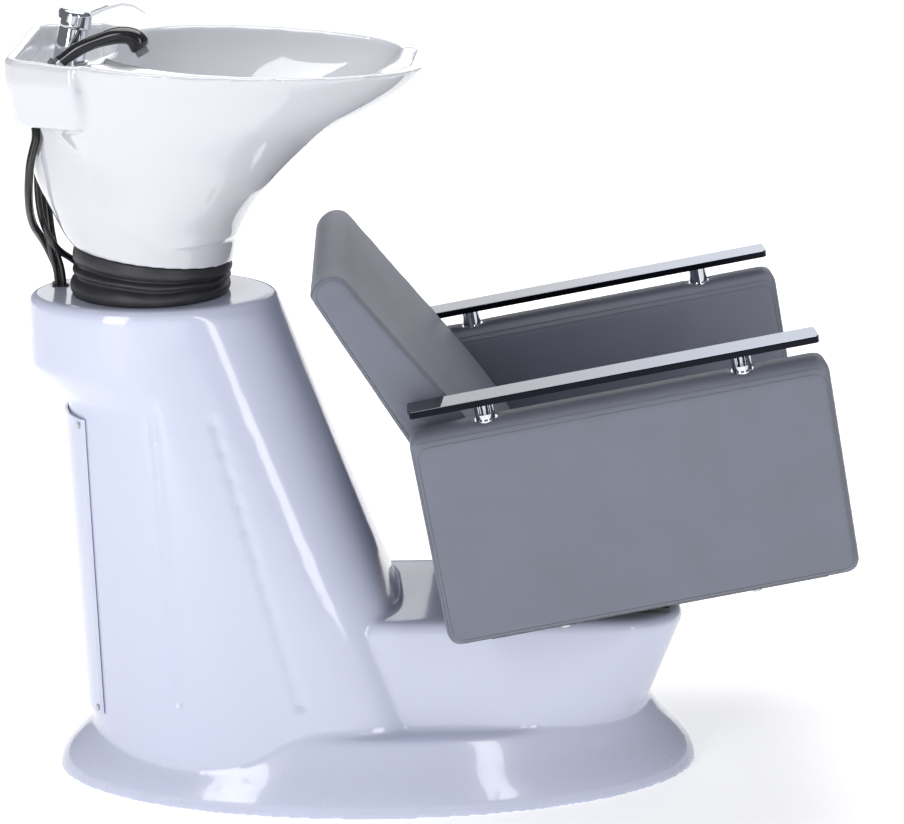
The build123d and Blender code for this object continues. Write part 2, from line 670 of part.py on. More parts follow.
def panel_seal():
    """The foam strip between the plate and the column, round the opening."""
    outer = column_form(PANEL_PROUD - PANEL_SEAL_PLAY, PANEL_LOW_Z - OVERRUN, PANEL_TOP_Z + OVERRUN)
    inner = column_form(0, PANEL_LOW_Z - PANEL_LAP, PANEL_TOP_Z + PANEL_LAP)
    inset = PANEL_LAP / 8
    window = block(BASIN_REAR_X, HEAD_CENTRE_X, inset - PANEL_HALF_WIDTH, PANEL_HALF_WIDTH - inset,
                   PANEL_LOW_Z + inset, PANEL_TOP_Z - inset)
    hole = block(BASIN_REAR_X, HEAD_CENTRE_X, PANEL_LAP - PANEL_HALF_WIDTH, PANEL_HALF_WIDTH - PANEL_LAP,
                 PANEL_LOW_Z + PANEL_LAP, PANEL_TOP_Z - PANEL_LAP)
    strip = ((outer - inner) & window) - hole
    for _, _, _, shank in panel_screw_places():
        strip = strip - shank
    return strip


def panel_screws():
    """Four pan-head screws through the plate."""
    screws = []
    for spot, _, _, _ in panel_screw_places():
        seat = PANEL_PROUD + PANEL_THICKNESS + PANEL_SCREW_LIFT
        length = seat + SHELL_WALL + OVERRUN / 2
        shank = spot * Pos(0, 0, seat - length / 2) * Cylinder(PANEL_SCREW_RADIUS, length)
        head = spot * Pos(0, 0, seat + PANEL_SCREW_HEAD_HEIGHT / 2) * Cylinder(
            PANEL_SCREW_HEAD_RADIUS, PANEL_SCREW_HEAD_HEIGHT)
        screws.append(shank + head)
    return Compound(children=screws)


# Steel frame inside the base

def floor_plate():
    """The plate that is bolted to the floor, with its anchor holes."""
    plate = block(-FLOOR_PLATE_LENGTH / 2, FLOOR_PLATE_LENGTH / 2, -FLOOR_PLATE_WIDTH / 2,
                  FLOOR_PLATE_WIDTH / 2,
                  0, FLOOR_PLATE_THICKNESS)
    for side_x in SIDES:
        for side in SIDES:
            plate = plate - rod(side_x * ANCHOR_SPACING_X / 2, side * ANCHOR_SPACING_Y / 2, -OVERRUN,
                                FLOOR_PLATE_THICKNESS + OVERRUN, ANCHOR_HOLE_RADIUS)
    way = SPIGOT_RADIUS + DRAIN_TAIL_WALL * 2
    return plate - rod(SPIGOT_X, 0, -OVERRUN, FLOOR_PLATE_THICKNESS + OVERRUN, way)


def square_tube(x, y, z_from, z_to, size):
    """An upright square tube."""
    bore = size / 2 - LEG_WALL
    outer = block(x - size / 2, x + size / 2, y - size / 2, y + size / 2, z_from, z_to)
    return outer - block(x - bore, x + bore, y - bore, y + bore, z_from - OVERRUN, z_to + OVERRUN)


def column_frame():
    """Four legs with two hoops, welded under the head plate."""
    top = HEAD_TOP_Z - SHELL_WALL - HEAD_PLATE_THICKNESS
    frame = None
    for side_x in SIDES:
        for side in SIDES:
            leg = square_tube(PIVOT_X + side_x * LEG_OFFSET_X, side * LEG_OFFSET_Y, FLOOR_PLATE_THICKNESS,
                              top, LEG_SIZE)
            frame = leg if frame is None else frame + leg
    inner_x = LEG_OFFSET_X - LEG_SIZE / 2
    inner_y = LEG_OFFSET_Y - LEG_SIZE / 2
    for z in BRACE_HEIGHTS_Z:
        for side in SIDES:
            near = side * LEG_OFFSET_Y
            frame = frame + block(PIVOT_X - inner_x, PIVOT_X + inner_x, near - LEG_SIZE / 2,
                                  near + LEG_SIZE / 2,
                                  z, z + LEG_SIZE)
            near = PIVOT_X + side * LEG_OFFSET_X
            frame = frame + block(near - LEG_SIZE / 2, near + LEG_SIZE / 2, -inner_y, inner_y, z,
                                  z + LEG_SIZE)
    return frame


def head_plate():
    """The round plate that backs the moulded head."""
    top = HEAD_TOP_Z - SHELL_WALL
    plate = tube(PIVOT_X, 0, top - HEAD_PLATE_THICKNESS, top, HEAD_PLATE_RADIUS, DRAIN_WAY_RADIUS)
    for x, y in tilt_bolt_places():
        plate = plate - rod(x, y, top - HEAD_PLATE_THICKNESS - OVERRUN, top + OVERRUN, TILT_BOLT_RADIUS)
    return plate


def seat_posts():
    """Two pairs of posts from the floor plate up to a plate under the plinth's top."""
    top = PLINTH_TOP_Z - SHELL_WALL
    plate_low = top - BRACKET_PLATE
    plate = block(BRACKET_REAR_X, BRACKET_FRONT_X, -BRACKET_HALF_WIDTH, BRACKET_HALF_WIDTH, plate_low, top)
    for x, y in plinth_bolt_places():
        plate = plate - rod(x, y, plate_low - OVERRUN, top + OVERRUN, FRAME_BOLT_RADIUS)
    pieces = plate
    for x in SEAT_POST_X:
        place = min(max(x, BRACKET_REAR_X + SEAT_POST_SIZE / 2), FLOOR_PLATE_LENGTH / 2 - SEAT_POST_SIZE / 2)
        for side in SIDES:
            pieces = pieces + square_tube(place, side * (SEAT_POST_Y - SEAT_POST_SIZE / 2),
                                          FLOOR_PLATE_THICKNESS,
                                          plate_low, SEAT_POST_SIZE)
    return pieces


# Tilt hinge

def tilt_base():
    """The fixed half of the hinge: a round plate with two ears."""
    top = HEAD_TOP_Z + TILT_PLATE_THICKNESS
    bracket = tube(PIVOT_X, 0, HEAD_TOP_Z, top, TILT_PLATE_RADIUS, DRAIN_WAY_RADIUS)
    for side in SIDES:
        inner = side * EAR_OUTER_Y
        outer = side * (EAR_OUTER_Y + EAR_THICKNESS)
        y_from, y_to = sorted((inner, outer))
        ear = block(PIVOT_X - EAR_RADIUS, PIVOT_X + EAR_RADIUS, y_from, y_to, HEAD_TOP_Z, PIVOT_Z)
        ear = ear + cross_rod(PIVOT_X, PIVOT_Z, y_from, y_to, EAR_RADIUS)
        bracket = bracket + ear - cross_rod(PIVOT_X, PIVOT_Z, y_from - OVERRUN, y_to + OVERRUN,
                                            TILT_PIN_RADIUS)
    for x, y in tilt_bolt_places():
        bracket = bracket - rod(x, y, HEAD_TOP_Z - OVERRUN, top + OVERRUN, TILT_BOLT_RADIUS)
    return bracket


def tilt_base_bolts():
    """Four bolts through hinge plate, moulding and head plate, with their nuts."""
    top = HEAD_TOP_Z + TILT_PLATE_THICKNESS
    low = HEAD_TOP_Z - SHELL_WALL - HEAD_PLATE_THICKNESS
    bolts = []
    for x, y in tilt_bolt_places():
        shank = rod(x, y, low - TILT_BOLT_HEAD_HEIGHT, top, TILT_BOLT_RADIUS)
        head = rod(x, y, top, top + TILT_BOLT_HEAD_HEIGHT, TILT_BOLT_HEAD_RADIUS)
        nut = rod(x, y, low - TILT_BOLT_HEAD_HEIGHT, low, TILT_BOLT_HEAD_RADIUS)
        bolts.append(shank + head + nut)
    return Compound(children=bolts)


def tilt_pins():
    """Two shoulder bolts in line, one through each pair of ears."""
    inner_end = EAR_OUTER_Y - TILT_WASHER_THICKNESS - EAR_THICKNESS - SEAT_GAP
    pins = []
    for side in SIDES:
        outer_end = EAR_OUTER_Y + EAR_THICKNESS
        shank = cross_rod(PIVOT_X, PIVOT_Z, *sorted((side * inner_end, side * outer_end)), TILT_PIN_RADIUS)
        head = cross_rod(PIVOT_X, PIVOT_Z,
                         *sorted((side * outer_end, side * (outer_end + TILT_PIN_HEAD_HEIGHT))),
                         TILT_PIN_HEAD_RADIUS)
        pins.append(shank + head)
    return Compound(children=pins)


def tilt_washers():
    """A friction washer between the ears on each side."""
    washers = []
    for side in SIDES:
        y_from, y_to = sorted((side * EAR_OUTER_Y,
                               side * (EAR_OUTER_Y - TILT_WASHER_THICKNESS + RUNNING_GAP)))
        disc = cross_rod(PIVOT_X, PIVOT_Z, y_from, y_to, TILT_WASHER_RADIUS)
        washers.append(disc - cross_rod(PIVOT_X, PIVOT_Z, y_from - OVERRUN, y_to + OVERRUN, TILT_PIN_RADIUS))
    return Compound(children=washers)


def carrier_bolt_spots():
    """The carrier's bolts, as angles round the foot."""
    return [45 + 90 * index for index in range(4)]


def foot_rod(angle, z_from, z_to, radius):
    """A rod in the basin foot's axes, on the bolt circle."""
    x = CARRIER_BOLT_CIRCLE_RADIUS * math.cos(math.radians(angle))
    y = CARRIER_BOLT_CIRCLE_RADIUS * math.sin(math.radians(angle))
    return FOOT_PLANE * rod(x, y, z_from, z_to, radius)


def tilt_carrier():
    """The moving half of the hinge: a ring under the basin with two ears."""
    top = -GASKET_THICKNESS
    low = top - CARRIER_THICKNESS
    carrier = tube(0, 0, low, top, CARRIER_RADIUS, DRAIN_WAY_RADIUS)
    for side in SIDES:
        inner = EAR_OUTER_Y - TILT_WASHER_THICKNESS - EAR_THICKNESS
        y_from, y_to = sorted((side * inner, side * (inner + EAR_THICKNESS)))
        ear = block(-EAR_RADIUS, EAR_RADIUS, y_from, y_to, -PIVOT_DROP, low)
        ear = ear + cross_rod(0, -PIVOT_DROP, y_from, y_to, EAR_RADIUS)
        bore = cross_rod(0, -PIVOT_DROP, y_from - OVERRUN, y_to + OVERRUN, TILT_PIN_RADIUS + RUNNING_GAP)
        carrier = carrier + ear - bore
    carrier = FOOT_PLANE * carrier
    for angle in carrier_bolt_spots():
        carrier = carrier - foot_rod(angle, low - OVERRUN, top + OVERRUN, CARRIER_BOLT_RADIUS)
    return carrier


def basin_gasket():
    """The rubber ring between carrier and ceramic."""
    ring = FOOT_PLANE * tube(0, 0, -GASKET_THICKNESS, 0, CARRIER_RADIUS, FOOT_LEDGE_RADIUS)
    for angle in carrier_bolt_spots():
        ring = ring - foot_rod(angle, -GASKET_THICKNESS - OVERRUN, OVERRUN, CARRIER_BOLT_RADIUS)
    return ring


def carrier_bolts():
    """Four bolts that clamp the ceramic foot to the carrier."""
    low = -GASKET_THICKNESS - CARRIER_THICKNESS
    top = FOOT_LEDGE_THICKNESS
    bolts = []
    for angle in carrier_bolt_spots():
        shank = foot_rod(angle, low - CARRIER_BOLT_HEAD_HEIGHT, top + CARRIER_BOLT_HEAD_HEIGHT,
                         CARRIER_BOLT_RADIUS)
        head = foot_rod(angle, low - CARRIER_BOLT_HEAD_HEIGHT, low, CARRIER_BOLT_HEAD_RADIUS)
        nut = foot_rod(angle, top, top + CARRIER_BOLT_HEAD_HEIGHT, CARRIER_BOLT_HEAD_RADIUS)
        bolts.append(shank + head + nut)
    return Compound(children=bolts)


def bellows_ring(share, radius):
    """A circle of the bellows, on a plane that fans from the head to the basin's foot."""
    angle = math.radians(share * FOOT_NOSE_DOWN_DEG)
    low = Vector(BELLOWS_CENTRE_X, 0, HEAD_TOP_Z + SEAT_GAP)
    high = Vector(FOOT_RING_X - SEAT_GAP * NOSE_SIN, 0, FOOT_RING_Z - SEAT_GAP * NOSE_COS)
    centre = low + (high - low) * share
    plane = Plane(origin=centre, x_dir=(math.cos(angle), 0, -math.sin(angle)),
                  z_dir=(math.sin(angle), 0, math.cos(angle)))
    return plane * Circle(radius).face()


def bellows():
    """The pleated rubber sleeve between head and basin."""
    rings = [(0.0, BELLOWS_LOW_RADIUS)]
    for fold in range(BELLOWS_FOLDS):
        for place, swell in FOLD_SHARES:
            share = FOLDS_LOW_SHARE + (FOLDS_TOP_SHARE - FOLDS_LOW_SHARE) * (fold + place) / BELLOWS_FOLDS
            radius = BELLOWS_VALLEY_RADIUS + swell * (BELLOWS_PEAK_RADIUS - BELLOWS_VALLEY_RADIUS)
            rings.append((share, radius))
    rings.append((TOP_BAND_SHARE, BELLOWS_TOP_RADIUS))
    rings.append((1.0, BELLOWS_TOP_RADIUS))
    outer = loft([bellows_ring(share, radius) for share, radius in rings], ruled=True)
    inner = loft([bellows_ring(share, radius - BELLOWS_WALL) for share, radius in rings], ruled=True)
    return outer - inner


# Ceramic basin

def oval_face(z, rear, front, half_width, rim_share):
    """A level section between a rear and a front place, from a plain oval to the rim's plan."""
    right = []
    for angle, along_share, out_share in PLAN_SHARES:
        oval_along = (1 + math.cos(math.radians(angle))) / 2
        oval_out = math.sin(math.radians(angle))
        along = oval_along + rim_share * (along_share - oval_along)
        out = oval_out + rim_share * (out_share - oval_out)
        right.append((rear + along * (front - rear), -half_width * out))
    left = [(x, -y) for x, y in right[-2:0:-1]]
    return level(z) * make_face(Spline(*right, *left, periodic=True))


def basin_loft(shares):
    """A loft through the basin's oval sections."""
    faces = []
    for height, rear, front, width, rim_share in shares:
        faces.append(oval_face(FOOT_RING_Z + height * BASIN_HEIGHT, BASIN_REAR_X + rear * BASIN_LENGTH,
                               BASIN_REAR_X + front * BASIN_LENGTH, width * BASIN_HALF_WIDTH, rim_share))
    return loft(faces)


def pedestal():
    """The upright oval pedestal under the basin, square to the foot at its bottom."""
    faces = []
    level_share = PEDESTAL_SHARES[3][0]
    for height, rear, front, width in PEDESTAL_SHARES:
        angle = math.radians(FOOT_NOSE_DOWN_DEG * max(0, 1 - height / level_share))
        centre = BASIN_REAR_X + (rear + front) / 2 * BASIN_LENGTH if height else FOOT_RING_X
        plane = Plane(origin=(centre, 0, FOOT_RING_Z + height * BASIN_HEIGHT),
                      x_dir=(math.cos(angle), 0, -math.sin(angle)), z_dir=(math.sin(angle), 0,
                                                                           math.cos(angle)))
        faces.append(ellipse_at(plane, 0, (front - rear) / 2 * BASIN_LENGTH, width * BASIN_HALF_WIDTH))
    return loft(faces)


def deck_outline(inset):
    """The tap deck's outline at rim height, shrunk by a wall."""
    right = [(BASIN_REAR_X + inset, -DECK_REAR_HALF_WIDTH + inset / 2),
             (DECK_MID_X + inset * DECK_CORNER_SHARE, -DECK_MID_HALF_WIDTH + inset),
             (DECK_SIDE_X, -DECK_SIDE_HALF_WIDTH + inset), (DECK_ROOT_X, -DECK_ROOT_HALF_WIDTH + inset)]
    left = [(x, -y) for x, y in reversed(right)]
    return right + left


def deck_block():
    """The solid block of the tap deck, narrower at its skirt."""
    rim = FOOT_RING_Z + BASIN_HEIGHT * FUNNEL_SHARES[-1][0]
    upper = level(rim) * make_face(Polyline(*deck_outline(0), close=True))
    mid = level(DECK_FLOOR_Z) * make_face(Polyline(*deck_outline(0), close=True))
    low_points = [(x + DECK_LOW_REAR_X - BASIN_REAR_X, y * DECK_LOW_HALF_WIDTH_SHARE) for x,
                  y in deck_outline(0)]
    lower = level(DECK_SKIRT_Z) * make_face(Polyline(*low_points, close=True))
    return loft([lower, mid], ruled=True) + loft([mid, upper], ruled=True)


def above_rim(lift):
    """Everything above the sloping rim plane, to be cut away."""
    rear_z = FOOT_RING_Z + BASIN_HEIGHT + lift
    front_z = rear_z - RIM_FRONT_DROP
    front_x = BASIN_REAR_X + BASIN_LENGTH
    slope = (front_z - rear_z) / BASIN_LENGTH
    margin = BASIN_FLOOR_THICKNESS
    roof = rear_z + BASIN_HEIGHT
    points = [(BASIN_REAR_X - margin, rear_z - slope * margin), (front_x + margin, front_z + slope * margin),
              (front_x + margin, roof), (BASIN_REAR_X - margin, roof)]
    return side_slab(points, -BASIN_HALF_WIDTH - margin, BASIN_HALF_WIDTH + margin)


def neck_tongue():
    """The block under the neck, whose inner edge is a parabola in plan."""
    front_x = BASIN_REAR_X + BASIN_LENGTH
    side = NECK_REST_HALF_WIDTH
    pull_x = 2 * NECK_REST_X - NECK_REST_ROOT_X
    edges = [
        Bezier((NECK_REST_ROOT_X, -side), (pull_x, 0), (NECK_REST_ROOT_X, side)),
        Line((NECK_REST_ROOT_X, side), (front_x, side)),
        Line((front_x, side), (front_x, -side)),
        Line((front_x, -side), (NECK_REST_ROOT_X, -side)),
    ]
    return extrude(level(FOOT_RING_Z) * make_face(Wire(edges)), amount=BASIN_HEIGHT)


def neck_cutter():
    """The round saddle that the neck lies in."""
    length = BASIN_LENGTH / 2
    front_x = BASIN_REAR_X + BASIN_LENGTH
    return Pos(front_x, 0, NECK_LOW_Z + NECK_RADIUS) * Rot(0, 90 - NECK_SLOPE_DEG, 0) * Cylinder(NECK_RADIUS,
                                                                                                 length)


def basin():
    """The ceramic: funnel, pedestal and deck, with the bowl, neck rest and hose bay taken out."""
    funnel = basin_loft(FUNNEL_SHARES)
    outside = funnel + pedestal() + deck_block()
    hollow = basin_loft(HOLLOW_SHARES)
    hollow = hollow - neck_tongue()
    roof = FOOT_RING_Z + 2 * BASIN_HEIGHT
    deck_cut = extrude(level(DECK_FLOOR_Z) * make_face(Polyline(*deck_outline(DECK_WALL), close=True)),
                       amount=roof - DECK_FLOOR_Z)
    deck_cut = deck_cut & block(BASIN_REAR_X, DECK_FRONT_X + DECK_WALL, -BASIN_HALF_WIDTH, BASIN_HALF_WIDTH,
                                DECK_FLOOR_Z, roof)
    body = outside - hollow - deck_cut - above_rim(0) - neck_cutter()
    bay_top = DECK_FLOOR_Z - DECK_FLOOR_THICKNESS
    body = body - block(HOSE_BAY_REAR_X, HOSE_BAY_FRONT_X, -HOSE_BAY_HALF_WIDTH, HOSE_BAY_HALF_WIDTH,
                        DECK_SKIRT_Z, bay_top)
    for route, radius in hose_routes():
        body = body - hose_exit(route, radius + HOSE_EXIT_PLAY)
    floor_low = FOOT_RING_Z + HOLLOW_SHARES[0][0] * BASIN_HEIGHT - BASIN_FLOOR_THICKNESS
    foot_bore = FOOT_PLANE * rod(0, 0, FOOT_LEDGE_THICKNESS, BASIN_HEIGHT, FOOT_BORE_RADIUS)
    foot_bore = foot_bore & block(BASIN_REAR_X, 0, -BASIN_HALF_WIDTH, BASIN_HALF_WIDTH, 0, floor_low)
    body = body - foot_bore - FOOT_PLANE * rod(0, 0, -OVERRUN, FOOT_LEDGE_THICKNESS + OVERRUN,
                                               FOOT_LEDGE_RADIUS)
    for angle in carrier_bolt_spots():
        body = body - foot_rod(angle, -OVERRUN, FOOT_LEDGE_THICKNESS + OVERRUN, CARRIER_BOLT_RADIUS)
    body = body - rod(DRAIN_X, 0, floor_low - OVERRUN, FOOT_RING_Z + BASIN_HEIGHT / 2, DRAIN_HOLE_RADIUS)
    body = body - rod(MIXER_X, MIXER_Y, bay_top - OVERRUN, DECK_FLOOR_Z + OVERRUN, MIXER_HOLE_RADIUS)
    hole = rod(0, 0, -SPRAY_SHANK_LENGTH - OVERRUN, 2 * SPRAY_HOLDER_RADIUS, SPRAY_SHANK_RADIUS + SEAT_GAP)
    return body - spray_spot() * hole


# Waste

def drain_floor():
    """Height of the bowl's floor, where the strainer lies."""
    return FOOT_RING_Z + HOLLOW_SHARES[0][0] * BASIN_HEIGHT


def drain_strainer():
    """The flanged chrome fitting in the bowl's floor, with its cross and threaded tail."""
    z = drain_floor()
    fitting = tube(DRAIN_X, 0, z, z + STRAINER_THICKNESS, STRAINER_RADIUS, CATCHER_RADIUS + CATCHER_LIP)
    seat = z - CATCHER_DEPTH
    fitting = fitting + tube(DRAIN_X, 0, seat, z + STRAINER_THICKNESS, DRAIN_TAIL_RADIUS,
                             CATCHER_RADIUS + SEAT_GAP)
    fitting = fitting + tube(DRAIN_X, 0, z - DRAIN_TAIL_LENGTH, seat, DRAIN_TAIL_RADIUS,
                             DRAIN_TAIL_RADIUS - DRAIN_TAIL_WALL)
    cross_low = seat - STRAINER_BAR
    reach = DRAIN_TAIL_RADIUS - DRAIN_TAIL_WALL / 2
    bars = block(DRAIN_X - reach, DRAIN_X + reach, -STRAINER_BAR / 2, STRAINER_BAR / 2, cross_low, seat)
    bars = bars + block(DRAIN_X - STRAINER_BAR / 2, DRAIN_X + STRAINER_BAR / 2, -reach, reach, cross_low,
                        seat)
    return fitting + bars + rod(DRAIN_X, 0, cross_low, seat, STRAINER_HUB_RADIUS)


def hair_catcher():
    """The lift-out hair catcher: a slotted cup with a knob."""
    z = drain_floor()
    low = z - CATCHER_DEPTH + SEAT_GAP
    top = z + STRAINER_THICKNESS
    cup = rod(DRAIN_X, 0, low, top, CATCHER_RADIUS)
    cup = cup - rod(DRAIN_X, 0, low + CATCHER_WALL, top + OVERRUN, CATCHER_RADIUS - CATCHER_WALL)
    for index in range(CATCHER_SLOTS):
        spot = Pos(DRAIN_X, 0, low) * Rot(0, 0, 360 * index / CATCHER_SLOTS)
        reach = CATCHER_RADIUS * CATCHER_SLOT_END_SHARE
        start = CATCHER_KNOB_RADIUS * CATCHER_SLOT_START_SHARE
        cup = cup - spot * block(start, reach, -CATCHER_SLOT_WIDTH / 2, CATCHER_SLOT_WIDTH / 2, -OVERRUN,
                                 CATCHER_WALL + OVERRUN)
    return cup + rod(DRAIN_X, 0, low, low + CATCHER_DEPTH + CATCHER_KNOB_HEIGHT, CATCHER_KNOB_RADIUS)


def drain_nut():
    """The nut that clamps the fitting under the bowl's floor."""
    top = drain_floor() - BASIN_FLOOR_THICKNESS
    return tube(DRAIN_X, 0, top - DRAIN_NUT_HEIGHT, top, DRAIN_NUT_RADIUS, DRAIN_TAIL_RADIUS)


def waste_hose():
    """The soft waste hose from the tail down to the trap's inlet."""
    top = drain_floor() - DRAIN_TAIL_LENGTH
    low = TRAP_LOW_Z + TRAP_HEIGHT
    points = [(DRAIN_X, 0, top), (DRAIN_X, 0, (top + HEAD_TOP_Z) / 2),
              (PIVOT_X, 0, HEAD_TOP_Z - 2 * HEAD_BAND), (PIVOT_X, 0, low)]
    path = FilletPolyline(*points, radius=HEAD_BAND)
    start = Plane(origin=path @ 0, z_dir=path % 0)
    outer = sweep(start * Circle(WASTE_HOSE_RADIUS).face(), path=path)
    inner = sweep(start * Circle(WASTE_HOSE_RADIUS - WASTE_HOSE_WALL).face(), path=path)
    return outer - inner


def bottle_trap():
    """The bottle trap on the waste hose, with its side arm to the spigot."""
    top = TRAP_LOW_Z + TRAP_HEIGHT
    body = rod(PIVOT_X, 0, TRAP_LOW_Z, top, TRAP_RADIUS)
    body = body - rod(PIVOT_X, 0, TRAP_LOW_Z + TRAP_WALL, top - TRAP_WALL, TRAP_RADIUS - TRAP_WALL)
    body = body - rod(PIVOT_X, 0, top - TRAP_WALL - OVERRUN, top + OVERRUN,
                      WASTE_HOSE_RADIUS - WASTE_HOSE_WALL)
    arm_z = top - TRAP_WALL - TRAP_PIPE_RADIUS
    end = SPIGOT_X + TRAP_PIPE_RADIUS
    span = end - PIVOT_X
    arm = Pos((PIVOT_X + end) / 2, 0, arm_z) * Rot(0, 90, 0) * Cylinder(TRAP_PIPE_RADIUS, span)
    arm_bore = Pos((PIVOT_X + end) / 2, 0, arm_z) * Rot(0, 90, 0) * Cylinder(SPIGOT_RADIUS - SPIGOT_WALL,
                                                                             span - 2 * SPIGOT_WALL)
    drop = rod(SPIGOT_X, 0, SPIGOT_LOW_Z + SPIGOT_LENGTH, arm_z, TRAP_PIPE_RADIUS)
    drop_bore = rod(SPIGOT_X, 0, SPIGOT_LOW_Z + SPIGOT_LENGTH - OVERRUN, arm_z, SPIGOT_RADIUS - SPIGOT_WALL)
    keep_out = rod(PIVOT_X, 0, TRAP_LOW_Z + TRAP_WALL, top - TRAP_WALL, TRAP_RADIUS - TRAP_WALL)
    return body + ((arm + drop) - keep_out) - arm_bore - drop_bore


def waste_spigot():
    """The plain pipe end that the building's drain is pushed onto."""
    return tube(SPIGOT_X, 0, SPIGOT_LOW_Z, SPIGOT_LOW_Z + SPIGOT_LENGTH, SPIGOT_RADIUS,
                SPIGOT_RADIUS - SPIGOT_WALL)


# Mixer tap

MIXER_SIN = math.sin(math.radians(MIXER_LEAN_DEG))
MIXER_COS = math.cos(math.radians(MIXER_LEAN_DEG))
MIXER_FOOT_Z = DECK_FLOOR_Z + MIXER_RING_HEIGHT
MIXER_PLANE = Plane(origin=(MIXER_X, MIXER_Y, MIXER_FOOT_Z), x_dir=(MIXER_COS, 0, -MIXER_SIN),
                    z_dir=(MIXER_SIN, 0, MIXER_COS))


def mixer_body():
    """The leaning chrome body, flat on top, with its threaded shank."""
    top = MIXER_BODY_HEIGHT - DOME_SINK
    cone = loft([level(0) * Circle(MIXER_BASE_RADIUS).face(), level(top) * Circle(MIXER_NECK_RADIUS).face()],
                ruled=True)
    root = rod(0, 0, -MIXER_BASE_RADIUS, 0, MIXER_BASE_RADIUS)
    body = MIXER_PLANE * (cone + root)
    body = body & block(MIXER_X - BASIN_LENGTH, MIXER_X + BASIN_LENGTH, -BASIN_HALF_WIDTH, BASIN_HALF_WIDTH,
                        MIXER_FOOT_Z, MIXER_FOOT_Z + BASIN_HEIGHT)
    shank_low = DECK_FLOOR_Z - DECK_FLOOR_THICKNESS - MIXER_NUT_HEIGHT - OVERRUN
    body = body + rod(MIXER_X, MIXER_Y, shank_low, MIXER_FOOT_Z, MIXER_SHANK_RADIUS)
    bore = MIXER_PLANE * rod(0, 0, MIXER_BODY_HEIGHT - SPINDLE_DEPTH, MIXER_BODY_HEIGHT,
                             SPINDLE_RADIUS + RUNNING_GAP)
    return body - bore


def mixer_ring():
    """The flat ring under the mixer."""
    return tube(MIXER_X, MIXER_Y, DECK_FLOOR_Z, MIXER_FOOT_Z, MIXER_RING_RADIUS, MIXER_SHANK_RADIUS)


def mixer_nut():
    """The nut that holds the mixer under the deck."""
    top = DECK_FLOOR_Z - DECK_FLOOR_THICKNESS
    return tube(MIXER_X, MIXER_Y, top - MIXER_NUT_HEIGHT, top, MIXER_NUT_RADIUS, MIXER_SHANK_RADIUS)


def mixer_spindle():
    """The turning dome with its stem, cross-drilled for the lever's pin."""
    top = MIXER_BODY_HEIGHT - DOME_SINK
    stem = rod(0, 0, MIXER_BODY_HEIGHT - SPINDLE_DEPTH + SEAT_GAP, MIXER_BODY_HEIGHT, SPINDLE_RADIUS)
    reach = MIXER_DOME_RADIUS + OVERRUN
    dome = Pos(0, 0, MIXER_BODY_HEIGHT) * Sphere(MIXER_DOME_RADIUS)
    dome = dome & block(-reach, reach, -reach, reach, top + RUNNING_GAP, MIXER_BODY_HEIGHT + reach)
    return MIXER_PLANE * (stem + dome - cross_rod(0, MIXER_BODY_HEIGHT, -reach, reach, LEVER_PIN_RADIUS))


def mixer_lever():
    """The lever: a hub over the dome and a thin blade towards the sitter."""
    centre = MIXER_BODY_HEIGHT
    hub = rod(0, 0, centre - HUB_SKIRT, centre + HUB_TOP, HUB_RADIUS)
    hub = fillet(hub.edges().sort_by(Axis.Z)[-1], HUB_TOP / 3)
    reach = HUB_RADIUS + OVERRUN
    rise = 2 * reach * math.tan(math.radians(HUB_RAKE_DEG))
    under = side_slab([(-reach, centre - HUB_SKIRT + rise), (reach, centre - HUB_SKIRT),
                       (reach, centre - HUB_RADIUS), (-reach, centre - HUB_RADIUS)], -reach, reach)
    cavity = Pos(0, 0, centre) * Sphere(MIXER_DOME_RADIUS + HUB_GAP)
    hub = hub - under
    hub_top = centre + HUB_TOP
    upper = [(share * BLADE_REACH, hub_top + rise_share * BLADE_RISE) for share,
             rise_share in BLADE_TOP_SHARES]
    lower = [(share * BLADE_REACH, hub_top + rise_share * BLADE_RISE) for share,
             rise_share in BLADE_LOW_SHARES]
    blade = side_slab(upper + lower[::-1], -BLADE_WIDTH / 2, BLADE_WIDTH / 2)
    pin_way = cross_rod(0, centre, -reach, reach, LEVER_PIN_RADIUS + RUNNING_GAP)
    return MIXER_PLANE * (hub + blade - cavity - pin_way)


def lever_pin():
    """The cross pin, fast in the dome, that the lever tips on."""
    reach = HUB_RADIUS - OVERRUN / 2
    return MIXER_PLANE * cross_rod(0, MIXER_BODY_HEIGHT, -reach, reach, LEVER_PIN_RADIUS)


# Hand spray

def spray_spot():
    """The spray holder's place: its mouth on the deck, Z along the holder's axis."""
    return Pos(SPRAY_X, SPRAY_Y, DECK_FLOOR_Z) * Rot(0, SPRAY_LEAN_DEG, 0)


def band_between(z_from, z_to):
    """Everything near the deck between two heights."""
    return block(BASIN_REAR_X, DECK_ROOT_X, -DECK_ROOT_HALF_WIDTH, DECK_ROOT_HALF_WIDTH, z_from, z_to)


def spray_holder():
    """The chrome socket in the deck that the spray parks in."""
    collar = rod(0, 0, -2 * SPRAY_HOLDER_RADIUS, SPRAY_HOLDER_HEIGHT, SPRAY_HOLDER_RADIUS)
    collar = (spray_spot() * collar) & band_between(DECK_FLOOR_Z, DECK_FLOOR_Z + 2 * SPRAY_HOLDER_RADIUS)
    shank = spray_spot() * rod(0, 0, -SPRAY_SHANK_LENGTH, 0, SPRAY_SHANK_RADIUS)
    bore = rod(0, 0, -SPRAY_SHANK_LENGTH - OVERRUN, SPRAY_HOLDER_HEIGHT + OVERRUN, SPRAY_BORE_RADIUS)
    return collar + shank - spray_spot() * bore


